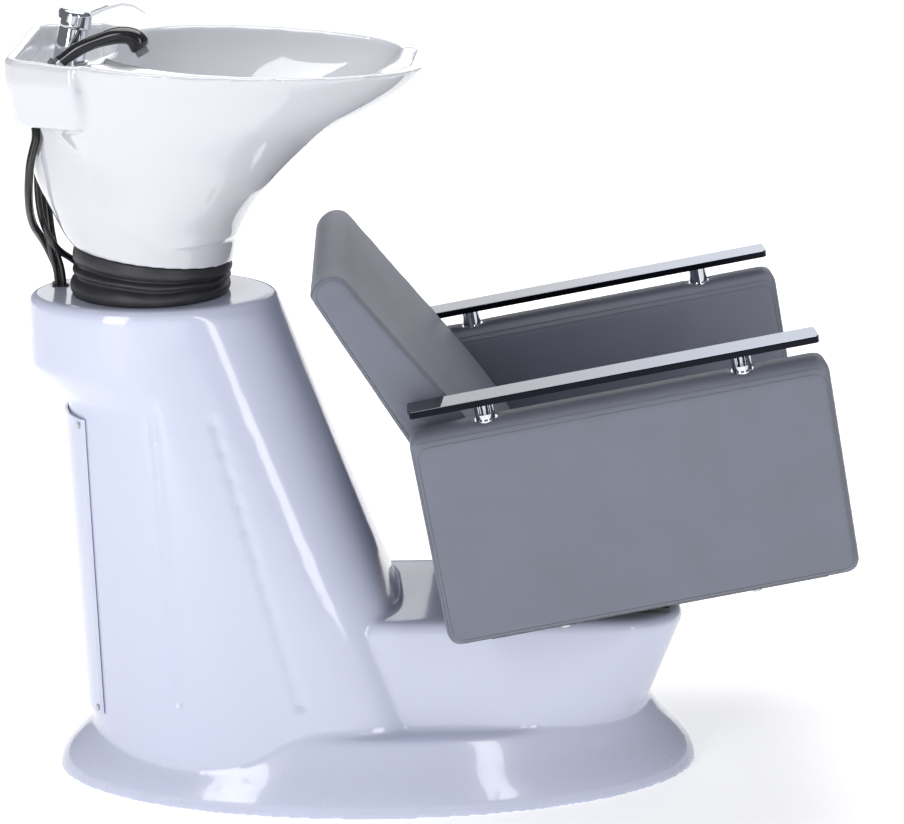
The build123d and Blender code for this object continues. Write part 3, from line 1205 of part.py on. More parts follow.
def spray_nut():
    """The nut under the deck, cut square to it."""
    nut = rod(0, 0, -SPRAY_NUT_LENGTH, 0, SPRAY_NUT_RADIUS) - rod(0, 0, -2 * SPRAY_NUT_LENGTH, OVERRUN,
                                                                  SPRAY_SHANK_RADIUS)
    under = DECK_FLOOR_Z - DECK_FLOOR_THICKNESS
    return (spray_spot() * nut) & band_between(under - SPRAY_NUT_LENGTH, under)


def spray_start():
    """Where the spray's line starts: just above the ferrule."""
    lean = math.radians(SPRAY_LEAN_DEG)
    rise = SPRAY_HOLDER_HEIGHT + FERRULE_LENGTH + 2 * SEAT_GAP
    return Vector(SPRAY_X + rise * math.sin(lean), SPRAY_Y, DECK_FLOOR_Z + rise * math.cos(lean))


def spray_ferrule():
    """The ring on the hose end that the spray swivels on."""
    low = SPRAY_HOLDER_HEIGHT + SEAT_GAP
    ring = rod(0, 0, low, low + FERRULE_LENGTH, FERRULE_RADIUS)
    return spray_spot() * (ring - rod(0, 0, low - OVERRUN, low + FERRULE_LENGTH + OVERRUN, SPRAY_HOSE_RADIUS))


def spray_line():
    """The spray's sections: each a plane square to the line, with a radius."""
    start = spray_start()
    count = len(SPRAY_LINE_SHARES)
    sections = []
    for index, (along, up, swell) in enumerate(SPRAY_LINE_SHARES):
        after = SPRAY_LINE_SHARES[min(index + 1, count - 1)]
        before = SPRAY_LINE_SHARES[max(index - 1, 0)]
        direction = Vector(after[0] - before[0], 0, after[1] - before[1]).normalized()
        if index == 0:
            direction = Vector(math.sin(math.radians(SPRAY_LEAN_DEG)), 0,
                               math.cos(math.radians(SPRAY_LEAN_DEG)))
        origin = start + Vector(along * SPRAY_REACH, 0, up * SPRAY_REACH)
        plane = Plane(origin=origin, x_dir=(direction.Z, 0, -direction.X), z_dir=direction)
        sections.append((plane, swell * SPRAY_BODY_RADIUS))
    return sections


def spray_handset():
    """The curved black handset, a loft along its line."""
    return loft([plane * Circle(radius).face() for plane, radius in spray_line()])


def spray_nozzle():
    """The grey nozzle with a ring of holes."""
    disc = rod(0, 0, 0, NOZZLE_LENGTH, NOZZLE_RADIUS)
    for index in range(NOZZLE_HOLES):
        angle = 2 * math.pi * index / NOZZLE_HOLES
        x = NOZZLE_RADIUS * NOZZLE_RING_SHARE * math.cos(angle)
        y = NOZZLE_RADIUS * NOZZLE_RING_SHARE * math.sin(angle)
        disc = disc - rod(x, y, NOZZLE_LENGTH / 2, NOZZLE_LENGTH + OVERRUN, NOZZLE_RADIUS * NOZZLE_HOLE_SHARE)
    return spray_line()[-1][0] * disc


# Hoses and valves

# Routes from the upper end down, as (x, y, z) places
SPRAY_HOSE_ROUTE = [(-417, -37, 1016), (-452, -37, 981), (-456.5, -41, 961), (-453, -50, 941),
                    (-449, -61, 920),
                    (-454, -64, 904), (-459, -66, 885), (-461.5, -64, 865), (-464, -56, 845), (-466.5, -36,
                                                                                               821),
                    (-467.5, -14, 801), (-466, 6, 783), (-462, 30, 767), (-456.5, 45, 752), (-450, 48, 736),
                    (-440.5, 46, 714), (-440.5, 46, 672), (-436, 46, 650), (-424, 46, 615),
                    (-409, 42, 580), (-401, 36, 540), (-400, 35, 490), (-401, 35.5, 430), (-400, 35, 365),
                    (-400, 22, 332), (-400, 0, 318), (-400, -22, 332), (-400, -35, 365), (-400, -35, 428)]
MIXER_HOSE_ROUTE = [(-418, 2, 983.5), (-418, 2, 966), (-428, 16, 954), (-443, 34, 944), (-456, 45, 928),
                    (-462, 49, 905), (-463, 46, 875), (-463, 41, 850), (-463, 35, 830), (-461.5, 29, 812),
                    (-458.5, 23, 795), (-453.5, 19, 780), (-447, 16, 767), (-440, 18, 753.5), (-432, 28, 742),
                    (-423, 42, 732), (-414, 56, 721), (-408.8, 62, 708), (-408.8, 62, 670), (-403, 54, 645),
                    (-395, 38, 618), (-392, 15, 590), (-395, -10, 562), (-399, -28, 530), (-400, -35, 500),
                    (-400, -35, 446)]
HOT_HOSE_ROUTE = [(-411, 13.5, 983.5), (-411, 13.5, 970), (-420, 34, 963), (-436, 54, 954), (-451, 62, 935),
                  (-459, 65, 903), (-460, 64, 872), (-460, 60, 847), (-458, 55, 828), (-457, 50, 812),
                  (-455, 40, 791), (-452, 31, 771), (-447.5, 28.5, 745), (-440.5, 31.5, 715), (-440.5, 31.5,
                                                                                               670),
                  (-430, 27, 635), (-417, 19, 595), (-409, 12, 550), (-406.5, 10, 510),
                  (-403.5, 9, 470), (-399, 10, 430), (-396, 11, 385), (-392, 13, 345), (-380, 17, 310),
                  (-369, 20.5, 278), (-365, 22, 242), (-365, 22, 184)]
COLD_HOSE_ROUTE = [(-403, 8, 983.5), (-403, 8, 968), (-408, 40, 961), (-424, 64, 954), (-441, 76, 937),
                   (-449, 78, 905), (-451, 76, 870), (-452, 71, 845), (-452.5, 66, 826), (-451, 60, 806),
                   (-448.5, 51, 787), (-445.5, 41, 768), (-440, 33, 743), (-431.5, 31.5, 714), (-431.5, 31.5,
                                                                                                670),
                   (-421, 24, 635), (-410, 9, 595), (-407, -4, 550), (-405.5, -7, 510),
                   (-402, -9, 470), (-399, -11, 430), (-396, -12, 385), (-392, -14, 345), (-380, -18, 310),
                   (-369, -20.5, 278), (-365, -22, 242), (-365, -22, 184)]


def hose_routes():
    """Every hose's route with its radius."""
    return [(SPRAY_HOSE_ROUTE, SPRAY_HOSE_RADIUS), (MIXER_HOSE_ROUTE, MIXER_HOSE_RADIUS),
            (HOT_HOSE_ROUTE, SUPPLY_HOSE_RADIUS), (COLD_HOSE_ROUTE, SUPPLY_HOSE_RADIUS)]


def grommet_places():
    """Each hose's hole in the head, under the route's first point below it: place and hose radius."""
    places = []
    for route, radius in hose_routes():
        x, y, _ = next(point for point in route if point[2] < HEAD_TOP_Z)
        places.append((x, y, radius))
    return places


def hose_path(route):
    """Straight runs joined by arcs that take a share of the shorter run beside each bend."""
    points = [Vector(*place) for place in route]
    radii = []
    for before, corner, after in zip(points, points[1:], points[2:]):
        first = corner - before
        second = after - corner
        half_turn = math.radians(first.get_angle(second)) / 2
        radii.append(SHORTER_RUN_SHARE * min(first.length, second.length) / math.tan(half_turn))
    return FilletPolyline(*points, radius=radii)


def hose(route, radius):
    """A soft pipe along a route."""
    path = hose_path(route)
    start = Plane(origin=path @ 0, z_dir=path % 0)
    ring = start * (Circle(radius) - Circle(radius - HOSE_WALL)).face()
    return sweep(ring, path=path)


def hose_exit(route, radius):
    """The scoop that a hose needs where it leaves the bay, with a slightly larger ball at each bend."""
    places = [Vector(*place) for place in route]
    scoop = None
    for start, end in zip(places, places[1:]):
        if start.Z > DECK_SKIRT_Z + 2 * DECK_FLOOR_THICKNESS or start.Z < HOSE_EXIT_LOW_Z:
            continue
        span = end - start
        plane = Plane(origin=start, z_dir=span.normalized())
        piece = plane * Pos(0, 0, span.length / 2) * Cylinder(radius, span.length)
        piece = piece + Pos(*start) * Sphere(radius + SEAT_GAP)
        scoop = piece if scoop is None else scoop + piece
    return scoop


def hose_grommets():
    """The rubber collars in the head's top, one to each hose and one shared by the two supplies."""
    top = HEAD_TOP_Z + GROMMET_FLANGE
    low = HEAD_TOP_Z - SHELL_WALL
    rings = []
    for group in (grommet_places()[:1], grommet_places()[1:2], grommet_places()[2:]):
        collar = None
        for x, y, radius in group:
            piece = rod(x, y, low, top, radius + GROMMET_WALL)
            piece = piece + rod(x, y, HEAD_TOP_Z, top, radius + GROMMET_WALL + GROMMET_LIP)
            collar = piece if collar is None else collar + piece
        for x, y, radius in group:
            collar = collar - rod(x, y, low - OVERRUN, top + OVERRUN, radius)
        rings.append(collar)
    return Compound(children=rings)


def hose_union():
    """The fitting that joins the spray's hose to the mixer's outlet hose."""
    x, y, low = SPRAY_HOSE_ROUTE[-1]
    top = MIXER_HOSE_ROUTE[-1][2]
    middle = (low + top) / 2
    body = rod(x, y, middle - UNION_LENGTH / 2, middle + UNION_LENGTH / 2, UNION_RADIUS)
    body = body - rod(x, y, middle - UNION_LENGTH, low, SPRAY_HOSE_RADIUS)
    body = body - rod(x, y, top, middle + UNION_LENGTH, MIXER_HOSE_RADIUS)
    return body - rod(x, y, low - OVERRUN, top + OVERRUN, MIXER_HOSE_RADIUS - HOSE_WALL)


def valve_shelf():
    """The steel shelf between the rear legs that carries the stop valves."""
    rear = PIVOT_X - LEG_OFFSET_X - LEG_SIZE / 2
    side = LEG_OFFSET_Y - LEG_SIZE / 2
    shelf = block(rear, VALVE_SHELF_FRONT_X, -side, side, VALVE_SHELF_Z,
                  VALVE_SHELF_Z + VALVE_SHELF_THICKNESS)
    for side in SIDES:
        shelf = shelf - rod(VALVE_X, side * VALVE_Y, VALVE_SHELF_Z - OVERRUN, VALVE_SHELF_Z + VALVE_HEIGHT,
                            VALVE_RADIUS)
    return shelf


def stop_valves():
    """Two stop valves with threaded inlets below, knobs to the rear and hose nuts above."""
    top = VALVE_LOW_Z + VALVE_HEIGHT
    valves = []
    for side in SIDES:
        y = side * VALVE_Y
        valve = rod(VALVE_X, y, VALVE_LOW_Z, top, VALVE_RADIUS)
        valve = valve - rod(VALVE_X, y, VALVE_LOW_Z - OVERRUN, VALVE_LOW_Z + INLET_DEPTH, INLET_RADIUS)
        valve = valve + tube(VALVE_X, y, top, top + HOSE_NUT_HEIGHT, HOSE_NUT_RADIUS, SUPPLY_HOSE_RADIUS)
        knob_from = VALVE_X - VALVE_RADIUS - VALVE_KNOB_LENGTH
        knob_z = (VALVE_SHELF_Z + VALVE_SHELF_THICKNESS + top) / 2
        knob = Pos((knob_from + VALVE_X) / 2, y, knob_z) * Rot(0, 90, 0) * Cylinder(VALVE_KNOB_RADIUS,
                                                                                    VALVE_X - knob_from)
        valves.append(valve + knob)
    return Compound(children=valves)


# Chair

def chair_block(u_from, u_to, y_from, y_to, w_from, w_to):
    """A box in the chair's own axes."""
    return CHAIR_PLANE * block(u_from, u_to, y_from, y_to, w_from, w_to)


def chair_rod(u, y, w_from, w_to, radius):
    """A rod square to the seat."""
    return CHAIR_PLANE * rod(u, y, w_from, w_to, radius)


def round_corner(start, end, centre):
    """A quarter arc between two places about a centre."""
    middle = Vector(*centre)
    outward = (Vector(*start) + Vector(*end) - middle * 2).normalized()
    radius = (Vector(*start) - middle).length
    return ThreePointArc(start, middle + outward * radius, end)


def seat_bracket():
    """The welded steel wedge between plinth and seat pan."""
    low = PLINTH_TOP_Z
    plate = block(BRACKET_REAR_X, BRACKET_FRONT_X, -BRACKET_HALF_WIDTH, BRACKET_HALF_WIDTH, low,
                  low + BRACKET_PLATE)
    for x, y in plinth_bolt_places():
        plate = plate - rod(x, y, low - OVERRUN, low + BRACKET_PLATE + OVERRUN, FRAME_BOLT_RADIUS)
    pan_low = ARM_LOW_W - SEAT_PAN_THICKNESS
    margin = BRACKET_REAR_X / 2
    sloped = chair_block(BRACKET_REAR_X - margin, BRACKET_FRONT_X + 2 * margin, -BRACKET_HALF_WIDTH,
                         BRACKET_HALF_WIDTH,
                         pan_low - BRACKET_PLATE, pan_low)
    sloped = sloped & block(BRACKET_REAR_X, BRACKET_FRONT_X, -BRACKET_HALF_WIDTH, BRACKET_HALF_WIDTH,
                            low + BRACKET_PLATE, low + BASIN_HEIGHT)
    for u in PAN_BOLT_U:
        for side in SIDES:
            sloped = sloped - chair_rod(u, side * PAN_BOLT_Y, pan_low - 2 * BRACKET_PLATE, pan_low + OVERRUN,
                                        FRAME_BOLT_RADIUS)
    wedge = plate + sloped
    rear_top = (pan_low - BRACKET_PLATE + BRACKET_REAR_X * SEAT_SIN) / SEAT_COS
    front_top = (pan_low - BRACKET_PLATE + BRACKET_FRONT_X * SEAT_SIN) / SEAT_COS
    for y in BRACKET_WEB_Y:
        web = side_slab([(BRACKET_REAR_X, low + BRACKET_PLATE), (BRACKET_FRONT_X, low + BRACKET_PLATE),
                         (BRACKET_FRONT_X, front_top), (BRACKET_REAR_X, rear_top)],
                        y - BRACKET_PLATE / 2, y + BRACKET_PLATE / 2)
        wedge = wedge + web
    return wedge


def seat_pan():
    """The steel pan that carries the seat, the backrest and both arms."""
    low = ARM_LOW_W - SEAT_PAN_THICKNESS
    pan = block(SEAT_PAN_REAR_U, SEAT_PAN_FRONT_U, -SEAT_PAN_HALF_WIDTH, SEAT_PAN_HALF_WIDTH, low, ARM_LOW_W)
    for side in SIDES:
        for u in PAN_BOLT_U:
            pan = pan - rod(u, side * PAN_BOLT_Y, low - OVERRUN, ARM_LOW_W + OVERRUN, FRAME_BOLT_RADIUS)
        for u in ARM_BOLT_U:
            pan = pan - rod(u, side * (ARM_INNER_Y + ARM_THICKNESS / 2), low - OVERRUN, ARM_LOW_W + OVERRUN,
                            ARM_BOLT_RADIUS)
    return CHAIR_PLANE * pan


def chair_bolts():
    """Bolts from bracket to plinth, from pan to bracket, and from pan to the arms' cores."""
    bolts = []
    frame_low = PLINTH_TOP_Z - SHELL_WALL - BRACKET_PLATE
    top = PLINTH_TOP_Z + BRACKET_PLATE
    for x, y in plinth_bolt_places():
        bolt = rod(x, y, frame_low - FRAME_BOLT_HEAD_HEIGHT, top, FRAME_BOLT_RADIUS)
        bolt = bolt + rod(x, y, top, top + FRAME_BOLT_HEAD_HEIGHT, FRAME_BOLT_HEAD_RADIUS)
        bolts.append(bolt + rod(x, y, frame_low - FRAME_BOLT_HEAD_HEIGHT, frame_low, FRAME_BOLT_HEAD_RADIUS))
    pan_low = ARM_LOW_W - SEAT_PAN_THICKNESS
    under = pan_low - BRACKET_PLATE
    for side in SIDES:
        for u in PAN_BOLT_U:
            y = side * PAN_BOLT_Y
            bolt = rod(u, y, under - FRAME_BOLT_HEAD_HEIGHT, ARM_LOW_W, FRAME_BOLT_RADIUS)
            bolt = bolt + rod(u, y, ARM_LOW_W, ARM_LOW_W + FRAME_BOLT_HEAD_HEIGHT, FRAME_BOLT_HEAD_RADIUS)
            bolt = bolt + rod(u, y, under - FRAME_BOLT_HEAD_HEIGHT, under, FRAME_BOLT_HEAD_RADIUS)
            bolts.append(CHAIR_PLANE * bolt)
        for u in ARM_BOLT_U:
            y = side * (ARM_INNER_Y + ARM_THICKNESS / 2)
            bolt = rod(u, y, pan_low, pan_low + ARM_BOLT_DEPTH, ARM_BOLT_RADIUS)
            bolts.append(CHAIR_PLANE * (bolt + rod(u, y, pan_low - ARM_BOLT_HEAD_HEIGHT, pan_low,
                                                   ARM_BOLT_HEAD_RADIUS)))
    return Compound(children=bolts)


def seat_board():
    """The plywood under the seat and backrest, bored over the bolt heads."""
    board = block(SEAT_PAN_REAR_U, SEAT_PAN_FRONT_U, -SEAT_BOARD_HALF_WIDTH, SEAT_BOARD_HALF_WIDTH,
                  ARM_LOW_W, ARM_LOW_W + SEAT_BOARD_THICKNESS)
    for side in SIDES:
        for u in PAN_BOLT_U:
            board = board - rod(u, side * PAN_BOLT_Y, ARM_LOW_W - OVERRUN,
                                ARM_LOW_W + FRAME_BOLT_HEAD_HEIGHT + BOLT_PLAY,
                                FRAME_BOLT_HEAD_RADIUS + BOLT_PLAY)
    board = CHAIR_PLANE * board
    for side in SIDES:
        for shank in stay_screw_shanks(side):
            board = board - shank
    return board


def seat_cushion():
    """The seat cushion: crowned on top, rounded at the knees."""
    low = ARM_LOW_W + SEAT_BOARD_THICKNESS
    half_width = ARM_INNER_Y - SEAT_SIDE_GAP
    top = SEAT_TOP_W
    shoulder = SEAT_FRONT_U - SEAT_NOSE_ROUND
    nose_w = top - SEAT_NOSE_ROUND
    outline = [
        Line((SEAT_REAR_U, 0, low), (SEAT_REAR_U, 0, top)),
        Line((SEAT_REAR_U, 0, top), (shoulder, 0, top)),
        round_corner((shoulder, 0, top), (SEAT_FRONT_U, 0, nose_w), (shoulder, 0, nose_w)),
        Line((SEAT_FRONT_U, 0, nose_w), (SEAT_FRONT_U, 0, low)),
        Line((SEAT_FRONT_U, 0, low), (SEAT_REAR_U, 0, low)),
    ]
    profile = make_face(Wire(outline))
    cushion = extrude(Pos(0, -half_width, 0) * profile, amount=2 * half_width, dir=(0, 1, 0))
    crown = make_face(Wire([
        Line((0, -half_width, top - SEAT_CROWN), (0, -half_width, 0)),
        Line((0, -half_width, 0), (0, half_width, 0)),
        Line((0, half_width, 0), (0, half_width, top - SEAT_CROWN)),
        ThreePointArc((0, half_width, top - SEAT_CROWN), (0, 0, top), (0, -half_width, top - SEAT_CROWN)),
    ]))
    cushion = cushion & extrude(crown, amount=SEAT_FRONT_U + OVERRUN, dir=(1, 0, 0))
    return CHAIR_PLANE * cushion


def back_rear_u(w, offset):
    """The backrest's rear plane at a height, moved forward by an offset."""
    run = (BACK_REAR_LOW_U - BACK_REAR_TOP_U) / (BACK_REAR_TOP_W - BACK_LOW_W)
    return BACK_REAR_LOW_U - (w - BACK_LOW_W) * run + offset * math.hypot(1, run)


def backrest_board():
    """The plywood inside the backrest."""
    near = BACK_BOARD_COVER
    far = near + BACK_BOARD_THICKNESS
    profile = [(back_rear_u(w, offset), w) for w, offset in (
        (BACK_BOARD_LOW_W, near), (BACK_BOARD_TOP_W, near), (BACK_BOARD_TOP_W, far), (BACK_BOARD_LOW_W, far))]
    half_width = BACK_HALF_WIDTH - BACK_BOARD_SIDE
    board = CHAIR_PLANE * side_slab(profile, -half_width, half_width)
    for side in SIDES:
        for shank in stay_screw_shanks(side):
            board = board - shank
    return board


def backrest_stays():
    """Two steel angles that stand the backrest on the seat board."""
    near = BACK_BOARD_COVER + BACK_BOARD_THICKNESS
    far = near + STAY_THICKNESS
    foot_low = ARM_LOW_W + SEAT_BOARD_THICKNESS
    foot_top = foot_low + STAY_THICKNESS
    profile = [(STAY_FOOT_REAR_U, foot_low), (back_rear_u(foot_low, far), foot_low),
               (back_rear_u(STAY_TOP_W, far), STAY_TOP_W),
               (back_rear_u(STAY_TOP_W, near), STAY_TOP_W), (back_rear_u(foot_top, near), foot_top),
               (STAY_FOOT_REAR_U, foot_top)]
    stays = []
    for side in SIDES:
        y = side * STAY_Y
        stay = CHAIR_PLANE * side_slab(profile, y - STAY_WIDTH / 2, y + STAY_WIDTH / 2)
        for shank in stay_screw_shanks(side):
            stay = stay - shank
        stays.append(stay)
    return Compound(children=stays)


def stay_screw_spots(side):
    """Each screw's place on a stay, Z pointing out of its head."""
    y = side * STAY_Y
    top = ARM_LOW_W + SEAT_BOARD_THICKNESS + STAY_THICKNESS
    spots = [CHAIR_PLANE * Pos(u, y, top) for u in STAY_FOOT_SCREWS_U]
    run = (BACK_REAR_LOW_U - BACK_REAR_TOP_U) / (BACK_REAR_TOP_W - BACK_LOW_W)
    lean = math.degrees(math.atan2(1, run))
    far = BACK_BOARD_COVER + BACK_BOARD_THICKNESS + STAY_THICKNESS
    spots += [CHAIR_PLANE * Pos(back_rear_u(w, far), y, w) * Rot(0, lean, 0) for w in STAY_SCREWS_W]
    return spots


def stay_screw_shanks(side):
    return [spot * rod(0, 0, -STAY_SCREW_LENGTH, 0, STAY_SCREW_RADIUS) for spot in stay_screw_spots(side)]


def stay_screws():
    """Screws through the stays into the boards."""
    screws = []
    for side in SIDES:
        for spot in stay_screw_spots(side):
            screw = rod(0, 0, -STAY_SCREW_LENGTH, 0, STAY_SCREW_RADIUS)
            screws.append(spot * (screw + rod(0, 0, 0, STAY_SCREW_HEAD_HEIGHT, STAY_SCREW_HEAD_RADIUS)))
    return Compound(children=screws)


def backrest_cushion(board, stays, screws):
    """The padded backrest, hollowed for its board, stays and screws."""
    front = [(u, 0, w) for u, w in BACK_FRONT_LINE]
    low_rear = (BACK_REAR_LOW_U, 0, BACK_LOW_W)
    top_rear = (BACK_REAR_TOP_U, 0, BACK_REAR_TOP_W)
    outline = Wire([Line(low_rear, top_rear), Spline(top_rear, *front[:3]), Spline(*front[2:-1]),
                    Line(front[-2], front[-1]), Line(front[-1], low_rear)])
    cushion = extrude(Pos(0, -BACK_HALF_WIDTH, 0) * make_face(outline), amount=2 * BACK_HALF_WIDTH,
                      dir=(0, 1, 0))
    return CHAIR_PLANE * cushion - board - stays - screws


def side_core(side):
    """The plywood core of one arm."""
    middle = side * (ARM_INNER_Y + ARM_THICKNESS / 2)
    core = block(ARM_REAR_U + ARM_CORE_INSET, ARM_FRONT_U - ARM_CORE_INSET, middle - ARM_CORE_THICKNESS / 2,
                 middle + ARM_CORE_THICKNESS / 2, ARM_LOW_W + ARM_COVER, ARM_TOP_W - ARM_CORE_INSET)
    for u in ARM_BOLT_U:
        core = core - rod(u, middle, ARM_LOW_W, ARM_LOW_W - SEAT_PAN_THICKNESS + ARM_BOLT_DEPTH,
                          ARM_BOLT_RADIUS)
    for u in POST_U:
        top = ARM_TOP_W - ARM_CORE_INSET
        core = core - rod(u, middle, top - POST_STUD_DEPTH, top + OVERRUN, POST_STUD_RADIUS)
    return CHAIR_PLANE * core


def side_panel(side, core):
    """One padded arm, hollowed for its core, its bolts and its posts."""
    inner = ARM_INNER_Y
    outer = ARM_INNER_Y + ARM_THICKNESS
    middle = side * (inner + outer) / 2
    half = ARM_THICKNESS / 2
    length = ARM_FRONT_U - ARM_REAR_U
    height = ARM_TOP_W - ARM_LOW_W
    centre_u = (ARM_FRONT_U + ARM_REAR_U) / 2
    centre_w = (ARM_TOP_W + ARM_LOW_W) / 2
    outline = Plane(origin=(centre_u, 0, centre_w), x_dir=(1, 0, 0), z_dir=(0, -1, 0)) * RectangleRounded(
        length, height, ARM_CORNER_ROUND)
    panel = extrude(outline, amount=half, both=True)
    plan = Pos(centre_u, 0, centre_w) * RectangleRounded(length, ARM_THICKNESS, ARM_EDGE_ROUND)
    panel = panel & extrude(plan, amount=height / 2, both=True)
    low = ARM_LOW_W + ARM_EDGE_ROUND
    high = ARM_TOP_W - ARM_TOP_ROUND
    edges = []
    for sign in SIDES:
        edge_y = sign * half
        crown_y = sign * (half - ARM_TOP_ROUND)
        sole_y = sign * (half - ARM_EDGE_ROUND)
        edges.append(Line((centre_u, edge_y, low), (centre_u, edge_y, high)))
        edges.append(round_corner((centre_u, edge_y, high), (centre_u, crown_y, ARM_TOP_W),
                                  (centre_u, crown_y, high)))
        edges.append(round_corner((centre_u, edge_y, low), (centre_u, sole_y, ARM_LOW_W),
                                  (centre_u, sole_y, low)))
    crown_y = half - ARM_TOP_ROUND
    sole_y = half - ARM_EDGE_ROUND
    edges.append(Line((centre_u, -crown_y, ARM_TOP_W), (centre_u, crown_y, ARM_TOP_W)))
    edges.append(Line((centre_u, -sole_y, ARM_LOW_W), (centre_u, sole_y, ARM_LOW_W)))
    cross = make_face(Wire(edges))
    panel = panel & extrude(cross, amount=length / 2, both=True)
    panel = CHAIR_PLANE * Pos(0, middle, 0) * panel - core
    bolt_top = ARM_LOW_W - SEAT_PAN_THICKNESS + ARM_BOLT_DEPTH
    for u in ARM_BOLT_U:
        panel = panel - chair_rod(u, middle, ARM_LOW_W - OVERRUN, bolt_top + OVERRUN,
                                  ARM_BOLT_RADIUS + RUNNING_GAP)
    for u in POST_U:
        core_top = ARM_TOP_W - ARM_CORE_INSET
        panel = panel - chair_rod(u, middle, core_top - POST_STUD_DEPTH - OVERRUN, ARM_TOP_W + OVERRUN,
                                  POST_STUD_RADIUS + RUNNING_GAP)
        panel = panel - chair_rod(u, middle, ARM_TOP_W - POST_SINK, ARM_TOP_W + OVERRUN, POST_FLANGE_RADIUS)
    return panel


def rail_posts(side):
    """Two cupped posts that hold a rail above its arm."""
    y = side * (ARM_INNER_Y + ARM_THICKNESS / 2)
    low = ARM_TOP_W - POST_SINK
    posts = []
    for u in POST_U:
        post = rod(u, y, low, low + POST_FLANGE_HEIGHT, POST_FLANGE_RADIUS)
        post = post + rod(u, y, low, RAIL_LOW_W, POST_RADIUS)
        sill = ARM_TOP_W + POST_WINDOW_SILL
        post = post - rod(u, y, sill, RAIL_LOW_W + OVERRUN, POST_CUP_RADIUS)
        y_from, y_to = sorted((y, y + side * (POST_RADIUS + OVERRUN)))
        post = post - block(u - POST_WINDOW / 2, u + POST_WINDOW / 2, y_from, y_to, sill,
                            RAIL_LOW_W + OVERRUN)
        post = post - rod(u, y, low - OVERRUN, RAIL_LOW_W + OVERRUN, POST_STUD_RADIUS)
        posts.append(CHAIR_PLANE * post)
    return Compound(children=posts)


def rail_studs():
    """The studs from the cores through the posts into the rails."""
    low = ARM_TOP_W - ARM_CORE_INSET - POST_STUD_DEPTH
    studs = []
    for side in SIDES:
        for u in POST_U:
            studs.append(chair_rod(u, side * (ARM_INNER_Y + ARM_THICKNESS / 2), low,
                                   RAIL_LOW_W + POST_STUD_BITE,
                                   POST_STUD_RADIUS))
    return Compound(children=studs)


def armrest_rail(side):
    """One flat polished rail."""
    middle = side * (ARM_INNER_Y + ARM_THICKNESS / 2)
    length = RAIL_FRONT_U - RAIL_REAR_U
    plan = Pos((RAIL_FRONT_U + RAIL_REAR_U) / 2, middle, RAIL_LOW_W) * RectangleRounded(length, RAIL_WIDTH,
                                                                                        RAIL_CORNER)
    rail = extrude(plan, amount=RAIL_THICKNESS)
    rail = fillet(rail.edges().filter_by(Plane.XY), RAIL_THICKNESS / 6)
    for u in POST_U:
        rail = rail - rod(u, middle, RAIL_LOW_W - OVERRUN, RAIL_LOW_W + POST_STUD_BITE, POST_STUD_RADIUS)
    return CHAIR_PLANE * rail


def main():
    """Build every node once and write it out."""
    board = backrest_board()
    stays = backrest_stays()
    screws = stay_screws()
    cores = {side: side_core(side) for side in SIDES}
    nodes = {
        "base_shell": base_shell(),
        "service_panel": service_panel(),
        "panel_seal": panel_seal(),
        "panel_screws": panel_screws(),
        "floor_plate": floor_plate(),
        "column_frame": column_frame(),
        "head_plate": head_plate(),
        "seat_posts": seat_posts(),
        "tilt_base": tilt_base(),
        "tilt_base_bolts": tilt_base_bolts(),
        "tilt_pins": tilt_pins(),
        "tilt_washers": tilt_washers(),
        "tilt_carrier": tilt_carrier(),
        "basin_gasket": basin_gasket(),
        "carrier_bolts": carrier_bolts(),
        "bellows": bellows(),
        "basin": basin(),
        "drain_strainer": drain_strainer(),
        "hair_catcher": hair_catcher(),
        "drain_nut": drain_nut(),
        "waste_hose": waste_hose(),
        "bottle_trap": bottle_trap(),
        "waste_spigot": waste_spigot(),
        "mixer_body": mixer_body(),
        "mixer_ring": mixer_ring(),
        "mixer_nut": mixer_nut(),
        "mixer_spindle": mixer_spindle(),
        "mixer_lever": mixer_lever(),
        "lever_pin": lever_pin(),
        "spray_holder": spray_holder(),
        "spray_nut": spray_nut(),
        "spray_ferrule": spray_ferrule(),
        "spray_handset": spray_handset(),
        "spray_nozzle": spray_nozzle(),
        "spray_hose": hose(SPRAY_HOSE_ROUTE, SPRAY_HOSE_RADIUS),
        "mixer_hose": hose(MIXER_HOSE_ROUTE, MIXER_HOSE_RADIUS),
        "hot_hose": hose(HOT_HOSE_ROUTE, SUPPLY_HOSE_RADIUS),
        "cold_hose": hose(COLD_HOSE_ROUTE, SUPPLY_HOSE_RADIUS),
        "hose_grommets": hose_grommets(),
        "hose_union": hose_union(),
        "valve_shelf": valve_shelf(),
        "stop_valves": stop_valves(),
        "seat_bracket": seat_bracket(),
        "seat_pan": seat_pan(),
        "chair_bolts": chair_bolts(),
        "seat_board": seat_board(),
        "seat_cushion": seat_cushion(),
        "backrest_board": board,
        "backrest_stays": stays,
        "stay_screws": screws,
        "backrest_cushion": backrest_cushion(board, stays, screws),
        "side_core_right": cores[-1],
        "side_core_left": cores[1],
        "side_panel_right": side_panel(-1, cores[-1]),
        "side_panel_left": side_panel(1, cores[1]),
        "rail_posts_right": rail_posts(-1),
        "rail_posts_left": rail_posts(1),
        "rail_studs": rail_studs(),
        "armrest_rail_right": armrest_rail(-1),
        "armrest_rail_left": armrest_rail(1),
    }
    for name, solid in nodes.items():
        export_step(solid, f"parts/{name}.step")


main()
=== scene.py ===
import math

import bmesh
import bpy
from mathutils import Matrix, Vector, noise
from mathutils.bvhtree import BVHTree


